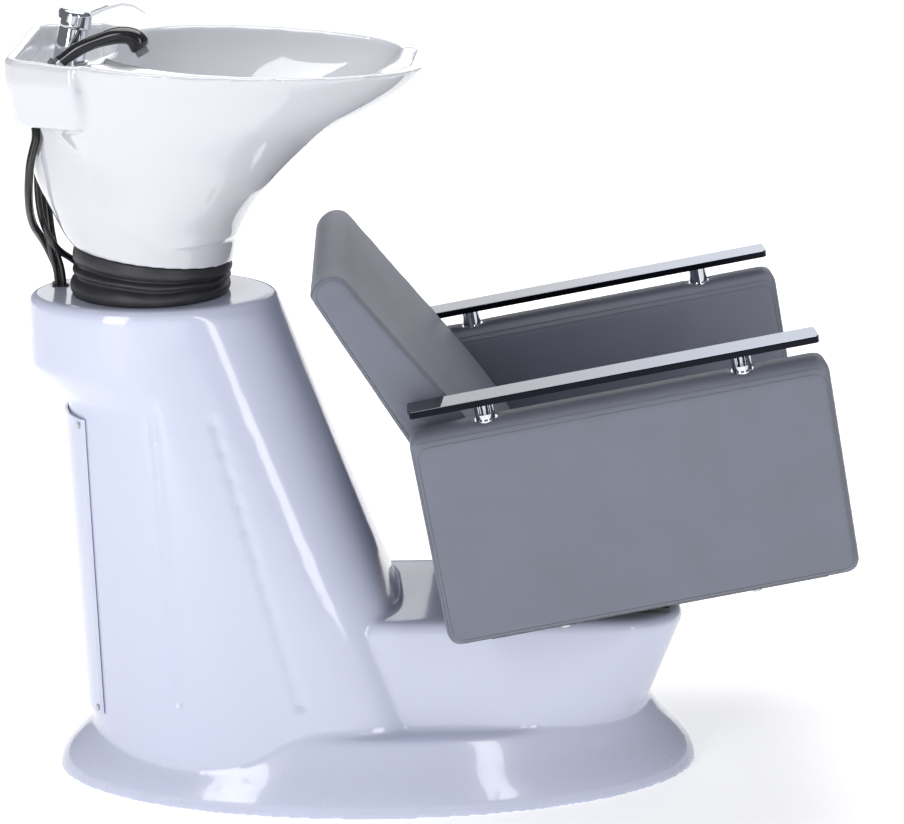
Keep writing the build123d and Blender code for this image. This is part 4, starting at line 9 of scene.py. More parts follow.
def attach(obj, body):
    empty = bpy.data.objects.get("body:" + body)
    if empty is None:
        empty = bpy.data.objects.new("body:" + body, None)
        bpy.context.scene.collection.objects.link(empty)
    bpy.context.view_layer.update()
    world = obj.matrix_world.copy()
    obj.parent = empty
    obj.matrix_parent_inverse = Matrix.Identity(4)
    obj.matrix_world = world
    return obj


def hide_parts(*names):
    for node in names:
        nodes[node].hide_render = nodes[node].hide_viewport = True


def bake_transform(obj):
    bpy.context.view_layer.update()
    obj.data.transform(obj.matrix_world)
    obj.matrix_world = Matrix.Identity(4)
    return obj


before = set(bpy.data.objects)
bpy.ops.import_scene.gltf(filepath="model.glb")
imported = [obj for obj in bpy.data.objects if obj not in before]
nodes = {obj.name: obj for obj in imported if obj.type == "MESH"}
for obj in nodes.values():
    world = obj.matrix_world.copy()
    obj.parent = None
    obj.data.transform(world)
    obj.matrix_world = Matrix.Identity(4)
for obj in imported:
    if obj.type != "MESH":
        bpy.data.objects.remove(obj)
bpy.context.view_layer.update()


# Base moulding and service panel
# One glass-fibre moulding in white gelcoat: flared oval foot, column with its head, and the
# plinth under the seat. The rear plate is cut from the same sheet and screwed on.

class Signal:
    """A socket in a finish's nodes. Sums on it add Math nodes."""

    def __init__(self, tree, socket=None):
        self.tree = tree
        self.socket = socket

    def node(self, kind, settings=None, inputs=None, output=0):
        """Adds a node with its settings, then the values or links of its sockets."""
        made = self.tree.nodes.new(kind)
        for name, value in (settings or {}).items():
            if name == "stops":
                stops = made.color_ramp.elements
                while len(stops) < len(value):
                    stops.new(1.0)
                for stop, (place, colour) in zip(stops, value):
                    stop.position = place
                    stop.color = colour
            else:
                setattr(made, name, value)
        for name, value in (inputs or {}).items():
            if isinstance(value, Signal):
                self.tree.links.new(value.socket, made.inputs[name])
            else:
                made.inputs[name].default_value = value
        return Signal(self.tree, made.outputs[output])

    def maths(self, operation, *values):
        return self.node("ShaderNodeMath", {"operation": operation}, dict(enumerate(values)))

    def __add__(self, other):
        return self.maths("ADD", self, other)

    def __radd__(self, other):
        return self.maths("ADD", other, self)

    def __sub__(self, other):
        return self.maths("SUBTRACT", self, other)

    def __rsub__(self, other):
        return self.maths("SUBTRACT", other, self)

    def __mul__(self, other):
        return self.maths("MULTIPLY", self, other)

    def __rmul__(self, other):
        return self.maths("MULTIPLY", other, self)

    def ramp(self, low, high):
        """0 below low, 1 above high, smooth between."""
        return self.node("ShaderNodeMapRange", {"interpolation_type": "SMOOTHSTEP"},
                         {"Value": self, "From Min": low, "From Max": high})

    def speckle(self, scale, detail=3.0, roughness=0.5):
        """Cloudy noise from 0 to 1 on this place, so many lumps to the metre."""
        return self.node("ShaderNodeTexNoise", None,
                         {"Vector": self, "Scale": scale, "Detail": detail, "Roughness": roughness})

    def part(self, axis):
        """One coordinate of a place."""
        return self.node("ShaderNodeSeparateXYZ", None, {0: self}, "XYZ".index(axis))

    def blend(self, first, second):
        """The colour that goes from first to second with this share."""
        return self.node("ShaderNodeMix", {"data_type": "RGBA"}, {0: self, 6: first, 7: second}, 2)


class Finish:
    """A material made from one shader, the place on the piece, and what changes over it."""

    def __init__(self, name, colour, roughness, **sockets):
        self.material = bpy.data.materials.new(name)
        self.material.use_nodes = True
        self.material.diffuse_color = (*colour, 1.0)
        self.tree = self.material.node_tree
        self.shader = self.tree.nodes["Principled BSDF"]
        self.shader.inputs["Base Color"].default_value = (*colour, 1.0)
        self.shader.inputs["Roughness"].default_value = roughness
        for socket, value in sockets.items():
            self.shader.inputs[socket.replace("_", " ")].default_value = value
        self.place = Signal(self.tree).node("ShaderNodeTexCoord", output=3)
        self.facing = Signal(self.tree).node("ShaderNodeTexCoord", output=1)

    def feed(self, **sockets):
        """Links a signal to each of the shader's sockets."""
        for socket, signal in sockets.items():
            self.tree.links.new(signal.socket, self.shader.inputs[socket.replace("_", " ")])

    def relief(self, height, depth, strength=1.0):
        """Raises the surface by a height signal, with its full depth in metres."""
        self.feed(Normal=height.node("ShaderNodeBump", None,
                                     {"Strength": strength, "Distance": depth, "Height": height}))

    def onto(self, *names):
        """Gives this finish to solids of the frame."""
        for name in names:
            for material_slot in nodes[name].material_slots:
                material_slot.material = self.material


def tint(red, green, blue):
    """A colour for a shader's node."""
    return (red, green, blue, 1.0)


def add_piece(name, mesh):
    """An object in the scene with this mesh, shaded smooth."""
    piece = bpy.data.objects.new(name, mesh)
    bpy.context.scene.collection.objects.link(piece)
    for face in mesh.polygons:
        face.use_smooth = True
    return piece


def settle(piece):
    """Applies a piece's modifiers."""
    bpy.context.view_layer.update()
    graph = bpy.context.evaluated_depsgraph_get()
    mesh = bpy.data.meshes.new_from_object(piece.evaluated_get(graph))
    old = piece.data
    piece.modifiers.clear()
    piece.data = mesh
    bpy.data.meshes.remove(old)


def fade(value, low, high):
    """0 below low, 1 above high, straight between."""
    return min(1.0, max(0.0, (value - low) / (high - low)))


def ease(piece, passes, share_at=None):
    """Smooths a piece's mesh, by the share that share_at gives for each place."""
    smooth = piece.modifiers.new("ease", "SMOOTH")
    smooth.factor = 0.5
    smooth.iterations = passes
    if share_at:
        group = piece.vertex_groups.new(name="ease")
        for vertex in piece.data.vertices:
            share = share_at(vertex.co)
            if share > 0.0:
                group.add([vertex.index], share, "REPLACE")
        smooth.vertex_group = group.name
    settle(piece)
    piece.vertex_groups.clear()


def copy_of(node, name):
    """A piece with the solid's own mesh, in its place."""
    mesh = nodes[node].data.copy()
    mesh.transform(nodes[node].matrix_world)
    piece = add_piece(name, mesh)
    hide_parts(node)
    return piece


LOOKS = [Vector(way).normalized() for way in (
    (1, 0, 0), (-1, 0, 0), (0, 1, 0), (0, -1, 0), (0, 0, 1), (1, 1, 0), (1, -1, 0), (-1, 1, 0), (-1, -1, 0),
    (1, 0, 1), (-1, 0, 1), (0, 1, 1), (0, -1, 1))]
LOOK_FROM = 0.0045
LOOK_REACH = 2.0
INSIDE_LOOKS = 10              # a face that sees this many walls lies inside the moulding
WELD_DISTANCE = 1e-6


def close_hollow(piece):
    """Takes a thin moulding's inside faces away and closes what they leave open."""
    shape = bmesh.new()
    shape.from_mesh(piece.data)
    bmesh.ops.remove_doubles(shape, verts=shape.verts, dist=WELD_DISTANCE)
    tree = BVHTree.FromBMesh(shape)
    inside = []
    for face in shape.faces:
        spot = face.calc_center_median() + face.normal * LOOK_FROM
        seen = sum(1 for look in LOOKS if tree.ray_cast(spot, look, LOOK_REACH)[0])
        if seen >= INSIDE_LOOKS:
            inside.append(face)
    bmesh.ops.delete(shape, geom=inside, context="FACES")
    bmesh.ops.holes_fill(shape, edges=[edge for edge in shape.edges if edge.is_boundary], sides=0)
    bmesh.ops.triangulate(shape, faces=shape.faces)
    bmesh.ops.recalc_face_normals(shape, faces=shape.faces)
    shape.to_mesh(piece.data)
    shape.free()


def cast(node, name, voxel, finish, hollow=False):
    """An even-meshed copy of a solid, in place of it, ready to be eased."""
    piece = copy_of(node, name)
    if hollow:
        close_hollow(piece)
    piece.data.materials.clear()
    remesh = piece.modifiers.new("remesh", "REMESH")
    remesh.mode = "VOXEL"
    remesh.voxel_size = voxel
    settle(piece)
    piece.data.materials.append(finish.material)
    for face in piece.data.polygons:
        face.use_smooth = True
    return piece


GELCOAT = (0.605, 0.640, 0.800)
GELCOAT_SCUFFED = (0.54, 0.56, 0.66)
gelcoat = Finish("gelcoat", GELCOAT, 0.16, Coat_Weight=0.6, Coat_Roughness=0.04, IOR=1.5)
height_up = gelcoat.place.part("Z")
cloud = gelcoat.place.speckle(9.0, 4.0)
low_down = 1.0 - height_up.ramp(0.0, 0.11)
scuff = low_down * gelcoat.place.speckle(60.0, 5.0).ramp(0.52, 0.72)
gelcoat.feed(Base_Color=(scuff * 0.5 + cloud * 0.05).blend(tint(*GELCOAT), tint(*GELCOAT_SCUFFED)),
             Roughness=0.13 + cloud * 0.08 + scuff * 0.25)
gelcoat.relief(gelcoat.place.speckle(14.0, 1.0), 0.0005)
gelcoat.onto("service_panel")

SHELL_VOXEL = 0.0035
SHELL_EASE_PASSES = 16
FLOOR_RIM = (0.004, 0.020)     # the rim on the floor stays sharp below and is eased above
HEAD_FLAT = (0.682, 0.690)     # the flat of the head with its holes stays as it is


def shell_ease(place):
    """How much the moulding is eased at a place."""
    return fade(place.z, *FLOOR_RIM) * (1.0 - fade(place.z, *HEAD_FLAT))


shell = cast("base_shell", "base_moulding", SHELL_VOXEL, gelcoat, hollow=True)
ease(shell, SHELL_EASE_PASSES, shell_ease)
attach(shell, "base")


# Small steel fixings
# Zinc-plated screws, bolts, pins, washers and studs, turned and rolled.

ZINC = (0.56, 0.57, 0.58)
zinc = Finish("zinc_plate", ZINC, 0.32, Metallic=1.0)
zinc.feed(Roughness=0.24 + zinc.place.speckle(700.0, 2.0) * 0.2)
zinc.onto("panel_screws", "tilt_base_bolts", "tilt_pins", "carrier_bolts", "lever_pin",
          "chair_bolts", "stay_screws", "rail_studs")


# Steel frame, plates and brackets
# Welded tube and plate inside the moulding and under the seat, powder coated black.

POWDER_COAT = (0.025, 0.025, 0.028)
powder_coat = Finish("powder_coat", POWDER_COAT, 0.45)
orange_peel = powder_coat.place.speckle(900.0, 2.0)
powder_coat.feed(Roughness=0.38 + orange_peel * 0.15)
powder_coat.relief(orange_peel, 0.00008)
powder_coat.onto("floor_plate", "column_frame", "head_plate", "seat_posts", "tilt_base",
                 "tilt_carrier", "seat_bracket", "seat_pan", "backrest_stays", "valve_shelf")


# Rubber seals
# Foam strip under the panel, basin gasket and hose grommets, and the sleeve over the hinge.

RUBBER = (0.022, 0.022, 0.026)
RUBBER_DUSTY = (0.034, 0.034, 0.040)
rubber = Finish("rubber", RUBBER, 0.5)
bloom = rubber.place.speckle(40.0, 5.0)
rubber.feed(Base_Color=bloom.ramp(0.4, 0.8).blend(tint(*RUBBER), tint(*RUBBER_DUSTY)),
            Roughness=0.38 + bloom * 0.22)
rubber.relief(rubber.place.speckle(500.0, 3.0), 0.0001)
rubber.onto("panel_seal", "basin_gasket", "hose_grommets")


# Basin
# Glazed vitreous china, cast in one piece with its pedestal, tap deck and neck saddle.

GLAZE = (0.63, 0.64, 0.68)
glaze = Finish("glaze", GLAZE, 0.07, Coat_Weight=1.0, Coat_Roughness=0.02, IOR=1.5)
firing = glaze.place.speckle(11.0, 2.0)
glaze.feed(Roughness=0.05 + firing * 0.05)
glaze.relief(firing, 0.0006)

GLAZE_VOXEL = 0.0026
GLAZE_EASE_PASSES = 14
DECK_EASE_PASSES = 70
RIM_BAND = (0.992, 1.004)      # the deck and the rim, from here up
DECK_SKIRT = (0.905, 0.940)
DECK_BACK_X = -0.360
DECK_BACK_RUN = 0.06
MIXER_PLACE = Vector((-0.410, 0.004))
SPRAY_PLACE = Vector((-0.428, -0.037))
FITTING_CLEAR = (0.024, 0.040)  # the glaze stays flat under the fittings and is eased beyond


def off_fittings(place):
    """0 under the mixer's and the spray's flanges, 1 away from them."""
    return min(fade((place.xy - fitting).length, *FITTING_CLEAR) for fitting in (MIXER_PLACE, SPRAY_PLACE))


def deck_ease(place):
    """How much more the deck's apron is eased."""
    apron = fade(place.z, *DECK_SKIRT) * (1.0 - fade(place.z, *RIM_BAND))
    return off_fittings(place) * apron * (1.0 - fade(place.x, DECK_BACK_X, DECK_BACK_X + DECK_BACK_RUN))


def rim_ease(place):
    """How much more the rim is eased."""
    return off_fittings(place) * fade(place.z, *RIM_BAND)


china = cast("basin", "basin_china", GLAZE_VOXEL, glaze)
ease(china, GLAZE_EASE_PASSES, off_fittings)
ease(china, DECK_EASE_PASSES, deck_ease)
ease(china, GLAZE_EASE_PASSES, rim_ease)
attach(china, "basin_unit")


# Drain and waste
# Chromed strainer with a lift-out hair catcher; brass nut, plastic trap and hose below.

CHROME = (0.60, 0.62, 0.66)
chrome = Finish("chrome", CHROME, 0.05, Metallic=1.0)
wipe = chrome.place.speckle(130.0, 4.0)
chrome.feed(Roughness=0.035 + wipe.ramp(0.45, 0.8) * 0.10)
chrome.onto("drain_strainer", "hair_catcher", "mixer_body", "mixer_ring", "mixer_spindle", "mixer_lever",
            "spray_holder", "spray_ferrule", "rail_posts_right", "rail_posts_left")

BRASS = (0.62, 0.46, 0.20)
brass = Finish("brass", BRASS, 0.3, Metallic=1.0)
brass.feed(Roughness=0.22 + brass.place.speckle(400.0, 3.0) * 0.2)
brass.onto("mixer_nut", "spray_nut", "hose_union", "stop_valves")

PIPE_WHITE = (0.72, 0.72, 0.71)
pipe_plastic = Finish("pipe_plastic", PIPE_WHITE, 0.42)
grain = pipe_plastic.place.speckle(1200.0, 2.0)
pipe_plastic.feed(Roughness=0.36 + grain * 0.14)
pipe_plastic.relief(grain, 0.00005)
pipe_plastic.onto("bottle_trap", "waste_spigot", "drain_nut", "tilt_washers")

waste = copy_of("waste_hose", "waste_run")
waste.data.materials.clear()
waste.data.materials.append(pipe_plastic.material)
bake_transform(waste)


# Hand spray
# Gloss black moulded handle with a grey rose, on a chromed swivel ferrule.

SPRAY_BLACK = (0.010, 0.010, 0.012)
spray_gloss = Finish("spray_gloss", SPRAY_BLACK, 0.14, Coat_Weight=0.5, Coat_Roughness=0.06)
spray_gloss.feed(Roughness=0.10 + spray_gloss.place.speckle(160.0, 3.0) * 0.12)
spray_gloss.onto("spray_handset")
ROSE_GREY = (0.20, 0.20, 0.21)
rose = Finish("rose_grey", ROSE_GREY, 0.4)
rose.feed(Roughness=0.34 + rose.place.speckle(900.0, 2.0) * 0.16)
rose.onto("spray_nozzle")


# Hoses
# Smooth black reinforced rubber. The spray's and the mixer's meet at a union in the column,
# and the two thin ones run down to the stop valves.

SPRAY_HOSE_ROUTE = [
    (-0.417, -0.037, 1.016), (-0.452, -0.037, 0.981), (-0.4565, -0.041, 0.961), (-0.453, -0.050, 0.941),
    (-0.449, -0.061, 0.920), (-0.454, -0.064, 0.904), (-0.459, -0.066, 0.885), (-0.4615, -0.064, 0.865),
    (-0.464, -0.056, 0.845), (-0.4665, -0.036, 0.821), (-0.4675, -0.014, 0.801), (-0.466, 0.006, 0.783),
    (-0.462, 0.030, 0.767), (-0.4565, 0.045, 0.752), (-0.450, 0.048, 0.736), (-0.4405, 0.046, 0.714),
    (-0.4405, 0.046, 0.672), (-0.436, 0.046, 0.650), (-0.424, 0.046, 0.615), (-0.409, 0.042, 0.580),
    (-0.401, 0.036, 0.540), (-0.400, 0.035, 0.490), (-0.401, 0.0355, 0.430), (-0.400, 0.035, 0.365),
    (-0.400, 0.022, 0.332), (-0.400, 0.0, 0.318), (-0.400, -0.022, 0.332), (-0.400, -0.035, 0.365),
    (-0.400, -0.035, 0.428)]
MIXER_HOSE_ROUTE = [
    (-0.418, 0.002, 0.9835), (-0.418, 0.002, 0.966), (-0.428, 0.016, 0.954), (-0.443, 0.034, 0.944),
    (-0.456, 0.045, 0.928), (-0.462, 0.049, 0.905), (-0.463, 0.046, 0.875), (-0.463, 0.041, 0.850),
    (-0.463, 0.035, 0.830), (-0.4615, 0.029, 0.812), (-0.4585, 0.023, 0.795), (-0.4535, 0.019, 0.780),
    (-0.447, 0.016, 0.767), (-0.440, 0.018, 0.7535), (-0.432, 0.028, 0.742), (-0.423, 0.042, 0.732),
    (-0.414, 0.056, 0.721), (-0.4088, 0.062, 0.708), (-0.4088, 0.062, 0.670), (-0.403, 0.054, 0.645),
    (-0.395, 0.038, 0.618), (-0.392, 0.015, 0.590), (-0.395, -0.010, 0.562), (-0.399, -0.028, 0.530),
    (-0.400, -0.035, 0.500), (-0.400, -0.035, 0.446)]
HOT_HOSE_ROUTE = [
    (-0.411, 0.0135, 0.9835), (-0.411, 0.0135, 0.970), (-0.420, 0.034, 0.963), (-0.436, 0.054, 0.954),
    (-0.451, 0.062, 0.935), (-0.459, 0.065, 0.903), (-0.460, 0.064, 0.872), (-0.460, 0.060, 0.847),
    (-0.458, 0.055, 0.828), (-0.457, 0.050, 0.812), (-0.455, 0.040, 0.791), (-0.452, 0.031, 0.771),
    (-0.4475, 0.0285, 0.745), (-0.4405, 0.0315, 0.715), (-0.4405, 0.0315, 0.670), (-0.430, 0.027, 0.635),
    (-0.417, 0.019, 0.595), (-0.409, 0.012, 0.550), (-0.4065, 0.010, 0.510), (-0.4035, 0.009, 0.470),
    (-0.399, 0.010, 0.430), (-0.396, 0.011, 0.385), (-0.392, 0.013, 0.345), (-0.380, 0.017, 0.310),
    (-0.369, 0.0205, 0.278), (-0.365, 0.022, 0.242), (-0.365, 0.022, 0.184)]
COLD_HOSE_ROUTE = [
    (-0.403, 0.008, 0.9835), (-0.403, 0.008, 0.968), (-0.408, 0.040, 0.961), (-0.424, 0.064, 0.954),
    (-0.441, 0.076, 0.937), (-0.449, 0.078, 0.905), (-0.451, 0.076, 0.870), (-0.452, 0.071, 0.845),
    (-0.4525, 0.066, 0.826), (-0.451, 0.060, 0.806), (-0.4485, 0.051, 0.787), (-0.4455, 0.041, 0.768),
    (-0.440, 0.033, 0.743), (-0.4315, 0.0315, 0.714), (-0.4315, 0.0315, 0.670), (-0.421, 0.024, 0.635),
    (-0.410, 0.009, 0.595), (-0.407, -0.004, 0.550), (-0.4055, -0.007, 0.510), (-0.402, -0.009, 0.470),
    (-0.399, -0.011, 0.430), (-0.396, -0.012, 0.385), (-0.392, -0.014, 0.345), (-0.380, -0.018, 0.310),
    (-0.369, -0.0205, 0.278), (-0.365, -0.022, 0.242), (-0.365, -0.022, 0.184)]
SPRAY_HOSE_RADIUS = 0.0057
MIXER_HOSE_RADIUS = 0.0048
INLET_HOSE_RADIUS = 0.0038
HOSE_SIDES = 20


def spline_points(route):
    """Points along the smooth line that a route steers."""
    line = bpy.data.curves.new("line", "CURVE")
    line.dimensions = "3D"
    line.resolution_u = 10
    spline = line.splines.new("NURBS")
    spline.points.add(len(route) - 1)
    for point, place in zip(spline.points, route):
        point.co = (*place, 1.0)
    spline.order_u = 3
    spline.use_endpoint_u = True
    holder = bpy.data.objects.new("line", line)
    bpy.context.scene.collection.objects.link(holder)
    bpy.context.view_layer.update()
    mesh = bpy.data.meshes.new_from_object(holder)
    places = [vertex.co.copy() for vertex in mesh.vertices]
    bpy.data.objects.remove(holder)
    bpy.data.meshes.remove(mesh)
    bpy.data.curves.remove(line)
    return places


def tube_mesh(name, places, radii, sides, closed=False):
    """A tube along places, with its radius at each."""
    mesh = bpy.data.meshes.new(name)
    shape = bmesh.new()
    count = len(places)
    side = None
    rings = []
    for index, place in enumerate(places):
        before = places[index - 1] if index or closed else place
        after = places[(index + 1) % count] if index + 1 < count or closed else place
        along = (after - before).normalized()
        if side is None:
            side = along.orthogonal().normalized()
        side = (side - along * side.dot(along)).normalized()
        other = along.cross(side)
        ring = []
        for step in range(sides):
            angle = 2 * math.pi * step / sides
            offset = side * math.cos(angle) + other * math.sin(angle)
            ring.append(shape.verts.new(place + offset * radii[index]))
        rings.append(ring)
    ends = rings[1:] + rings[:1] if closed else rings[1:]
    for low, high in zip(rings, ends):
        for step in range(sides):
            after = (step + 1) % sides
            shape.faces.new((low[step], low[after], high[after], high[step]))
    if not closed:
        shape.faces.new(list(reversed(rings[0])))
        shape.faces.new(rings[-1])
    bmesh.ops.recalc_face_normals(shape, faces=shape.faces)
    shape.to_mesh(mesh)
    shape.free()
    return mesh


def line_length(places):
    """Length along a line of places."""
    return sum((after - before).length for before, after in zip(places, places[1:]))


HOSE_BLACK = (0.012, 0.012, 0.014)
hose_rubber = Finish("hose_rubber", HOSE_BLACK, 0.26, Coat_Weight=0.15, Coat_Roughness=0.2)
hose_rubber.feed(Roughness=0.20 + hose_rubber.place.speckle(220.0, 4.0) * 0.2)

# The stretch inside the holder, where the hose pays out as the spray is pulled; built here as a straight tube
PULL_LOW = Vector((-0.448, -0.037, 0.985))
PULL_HIGH = Vector((-0.4175, -0.037, 1.0155))
PULL_RINGS = 60
PULL_RADIUS = 0.0058
pull_places = [PULL_LOW.lerp(PULL_HIGH, step / PULL_RINGS) for step in range(PULL_RINGS + 1)]
pull_mesh = tube_mesh("spray_hose_pull", pull_places, [PULL_RADIUS] * len(pull_places), HOSE_SIDES)
pull_mesh.materials.append(hose_rubber.material)
pull = add_piece("spray_hose_pull", pull_mesh)
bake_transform(pull)

for node, route, radius in (
        ("spray_hose", SPRAY_HOSE_ROUTE, SPRAY_HOSE_RADIUS),
        ("mixer_hose", MIXER_HOSE_ROUTE, MIXER_HOSE_RADIUS),
        ("hot_hose", HOT_HOSE_ROUTE, INLET_HOSE_RADIUS),
        ("cold_hose", COLD_HOSE_ROUTE, INLET_HOSE_RADIUS)):
    places = spline_points(route)
    mesh = tube_mesh(node + "_run", places, [radius] * len(places), HOSE_SIDES)
    mesh.materials.append(hose_rubber.material)
    hose = add_piece(node + "_run", mesh)
    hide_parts(node)
    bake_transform(hose)
    line_length(places)


# Bellows
# Soft black rubber sleeve, folded between the column's head and the basin's foot. It hides
# the tilt hinge and is built tipped at the hinge's angle.

BELLOWS_LOW_CENTRE = Vector((-0.3096, 0.0, 0.6953))
BELLOWS_TOP_CENTRE = Vector((-0.3040, 0.0, 0.7514))
BELLOWS_TILT = math.radians(7.3)
BELLOWS_AROUND = 144
BELLOWS_WALL = 0.0024
# Height as a share of the sleeve, and the sleeve's radius
BELLOWS_FOLDS = [
    (0.0, 0.1057), (0.05, 0.1075), (0.11, 0.1093), (0.19, 0.1098), (0.27, 0.1086), (0.32, 0.1050), (0.355, 0.1020),
    (0.385, 0.1012), (0.42, 0.1030), (0.455, 0.1068), (0.50, 0.1082), (0.545, 0.1068), (0.58, 0.1032),
    (0.61, 0.1012), (0.64, 0.1018), (0.68, 0.1055), (0.74, 0.1088), (0.82, 0.1095), (0.90, 0.1088),
    (0.96, 0.1080), (1.0, 0.1075)]
FOLD_SEAT_SHARE = 0.25     # the sleeve's ends sit still, and its folds wander from here on
FOLD_WANDER_SHARE = 0.045
FOLD_SWELL_SHARE = 0.010
WANDER_LUMPS = (2.2, 1.5)  # lumps across the sleeve and up it
SWELL_LUMPS = (3.1, 3.0)
SWELL_START = 9.0


def lumps_at(angle, share, across, up, start=0.0):
    """Noise from -1 to 1 round the sleeve and up it."""
    return noise.noise(Vector((across * math.cos(angle), across * math.sin(angle), start + up * share)))


bellows_mesh = bpy.data.meshes.new("bellows_sleeve")
shape = bmesh.new()
profile = [(share, radius) for share, radius in BELLOWS_FOLDS]
profile += [(share, radius - BELLOWS_WALL) for share, radius in reversed(BELLOWS_FOLDS)]
rings = []
for index, (share, radius) in enumerate(profile):
    ring = []
    for step in range(BELLOWS_AROUND):
        angle = 2 * math.pi * step / BELLOWS_AROUND
        loose = fade(min(share, 1.0 - share), 0.0, FOLD_SEAT_SHARE)
        wander = FOLD_WANDER_SHARE * loose * lumps_at(angle, share, *WANDER_LUMPS)
        here = min(1.0, max(0.0, share + wander))
        tip = BELLOWS_TILT * here
        centre = BELLOWS_LOW_CENTRE.lerp(BELLOWS_TOP_CENTRE, here)
        swell = radius * (1.0 + FOLD_SWELL_SHARE * loose * lumps_at(angle, share, *SWELL_LUMPS, SWELL_START))
        across = Vector((math.cos(tip), 0.0, -math.sin(tip)))
        ring.append(shape.verts.new(centre + across * swell * math.cos(angle)
                                    + Vector((0.0, swell * math.sin(angle), 0.0))))
    rings.append(ring)
for low, high in zip(rings, rings[1:] + rings[:1]):
    for step in range(BELLOWS_AROUND):
        after = (step + 1) % BELLOWS_AROUND
        shape.faces.new((low[step], low[after], high[after], high[step]))
bmesh.ops.recalc_face_normals(shape, faces=shape.faces)
shape.to_mesh(bellows_mesh)
shape.free()
bellows_mesh.materials.append(rubber.material)
bellows = add_piece("bellows_sleeve", bellows_mesh)
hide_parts("bellows")
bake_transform(bellows)


# Upholstery
# Foam on plywood under grey leatherette, sewn with welt seams along the edges.

LEATHER = (0.176, 0.187, 0.236)
LEATHER_DARK = (0.154, 0.163, 0.204)
leather = Finish("leatherette", LEATHER, 0.42, Sheen_Weight=0.08, Specular_IOR_Level=0.42)
leather_grain = leather.place.node("ShaderNodeTexVoronoi", {"feature": "DISTANCE_TO_EDGE"},
                                   {"Vector": leather.place, "Scale": 820.0})
leather_soft = leather.place.speckle(300.0, 4.0, 0.6)
leather_cloud = leather.place.speckle(12.0, 3.0)
leather.feed(Base_Color=(leather_cloud.ramp(0.35, 0.75) * 0.5).blend(tint(*LEATHER), tint(*LEATHER_DARK)),
             Roughness=0.36 + leather_soft * 0.12 + leather_cloud * 0.06)
leather.relief(leather_grain.ramp(0.0, 0.25) * 0.6 + leather_soft * 0.4, 0.00012)


def seam_line(piece, place, normal):
    """The longest closed line where a plane meets a piece, as places along it."""
    shape = bmesh.new()
    shape.from_mesh(piece.data)
    cut = bmesh.ops.bisect_plane(shape, geom=shape.verts[:] + shape.edges[:] + shape.faces[:],
                                 plane_co=place, plane_no=normal)
    beside = {}
    for edge in cut["geom_cut"]:
        if isinstance(edge, bmesh.types.BMEdge):
            for vertex in edge.verts:
                beside.setdefault(vertex, []).append(edge.other_vert(vertex))
    lines = []
    left = set(beside)
    while left:
        here = min(left, key=lambda vertex: vertex.index)
        line = []
        while here:
            left.discard(here)
            line.append(here.co.copy())
            here = next((other for other in beside[here] if other in left), None)
        lines.append(line)
    shape.free()
    return max(lines, key=line_length)


def even_places(line, step):
    """Places at even steps along a closed line, eased."""
    closed = line + line[:1]
    total = line_length(closed)
    count = int(total / step)
    places = []
    reached = 0.0
    for before, after in zip(closed, closed[1:]):
        span = (after - before).length
        while len(places) < count and len(places) * total / count <= reached + span:
            share = (len(places) * total / count - reached) / span if span else 0.0
            places.append(before.lerp(after, share))
        reached += span
    for _ in range(SEAM_EASE_PASSES):
        places = [(places[index - 1] + place * 2.0 + places[(index + 1) % len(places)]) / 4.0
                  for index, place in enumerate(places)]
    return places


def stitch(name, piece, y):
    """A raised seam round a padded piece, in the upright plane at y."""
    places = even_places(seam_line(piece, Vector((0.0, y, 0.0)), Vector((0.0, 1.0, 0.0))), SEAM_STEP)
    mesh = tube_mesh(name, places, [SEAM_RADIUS] * len(places), SEAM_SIDES, closed=True)
    mesh.materials.append(thread.material)
    seam = add_piece(name, mesh)
    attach(seam, "base")


SEAM_STEP = 0.006
SEAM_EASE_PASSES = 3
SEAM_SIDES = 8
SEAM_RADIUS = 0.0009
SEAM_DEPTHS = (0.0010, 0.0034)     # how far in from a panel's face the two lines of a seam run
SEAM_COLOUR = (0.150, 0.157, 0.180)
thread = Finish("seam", SEAM_COLOUR, 0.5)
thread.feed(Roughness=0.42 + thread.place.speckle(900.0, 2.0) * 0.16)

PAD_EASE = 6
pads = {}
for node, name, voxel, fill in (
        ("seat_cushion", "seat_pad", 0.005, 0.8),
        ("backrest_cushion", "backrest_pad", 0.005, 0.8),
        ("side_panel_right", "side_cover_right", 0.004, 0.9),
        ("side_panel_left", "side_cover_left", 0.004, 0.9)):
    pad = cast(node, name, voxel, leather)
    ease(pad, PAD_EASE)
    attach(pad, "base")
    pads[name] = pad

for name in ("backrest_pad", "side_cover_right", "side_cover_left"):
    pad = pads[name]
    low_y = min(vertex.co.y for vertex in pad.data.vertices)
    high_y = max(vertex.co.y for vertex in pad.data.vertices)
    for number, depth in enumerate(SEAM_DEPTHS, 1):
        for end, y in (("right", low_y + depth), ("left", high_y - depth)):
            stitch(f"{name}_seam_{end}_{number}", pad, y)


# Armrest rails
# Flat polished bars on chromed posts. Their side edges carry a painted dark reflection, and their tops a painted
# reflection that lightens from rear to front.

EDGE_PAINTED_REFLECTION = (0.012, 0.013, 0.018)
RAIL_REAR_PAINTED_REFLECTION = (0.17, 0.175, 0.20)
RAIL_FRONT_PAINTED_REFLECTION = (0.30, 0.33, 0.41)
RAIL_REAR_X = 0.10
RAIL_FRONT_X = 0.60
polish = Finish("rail_chrome_painted_reflection", CHROME, 0.06, Metallic=1.0)
# Painted reflection: faces turned sideways are coloured near black, as if mirroring a dark room.
painted_edge_reflection = polish.facing.maths("ABSOLUTE", polish.facing.part("Y")).ramp(0.55, 0.9)
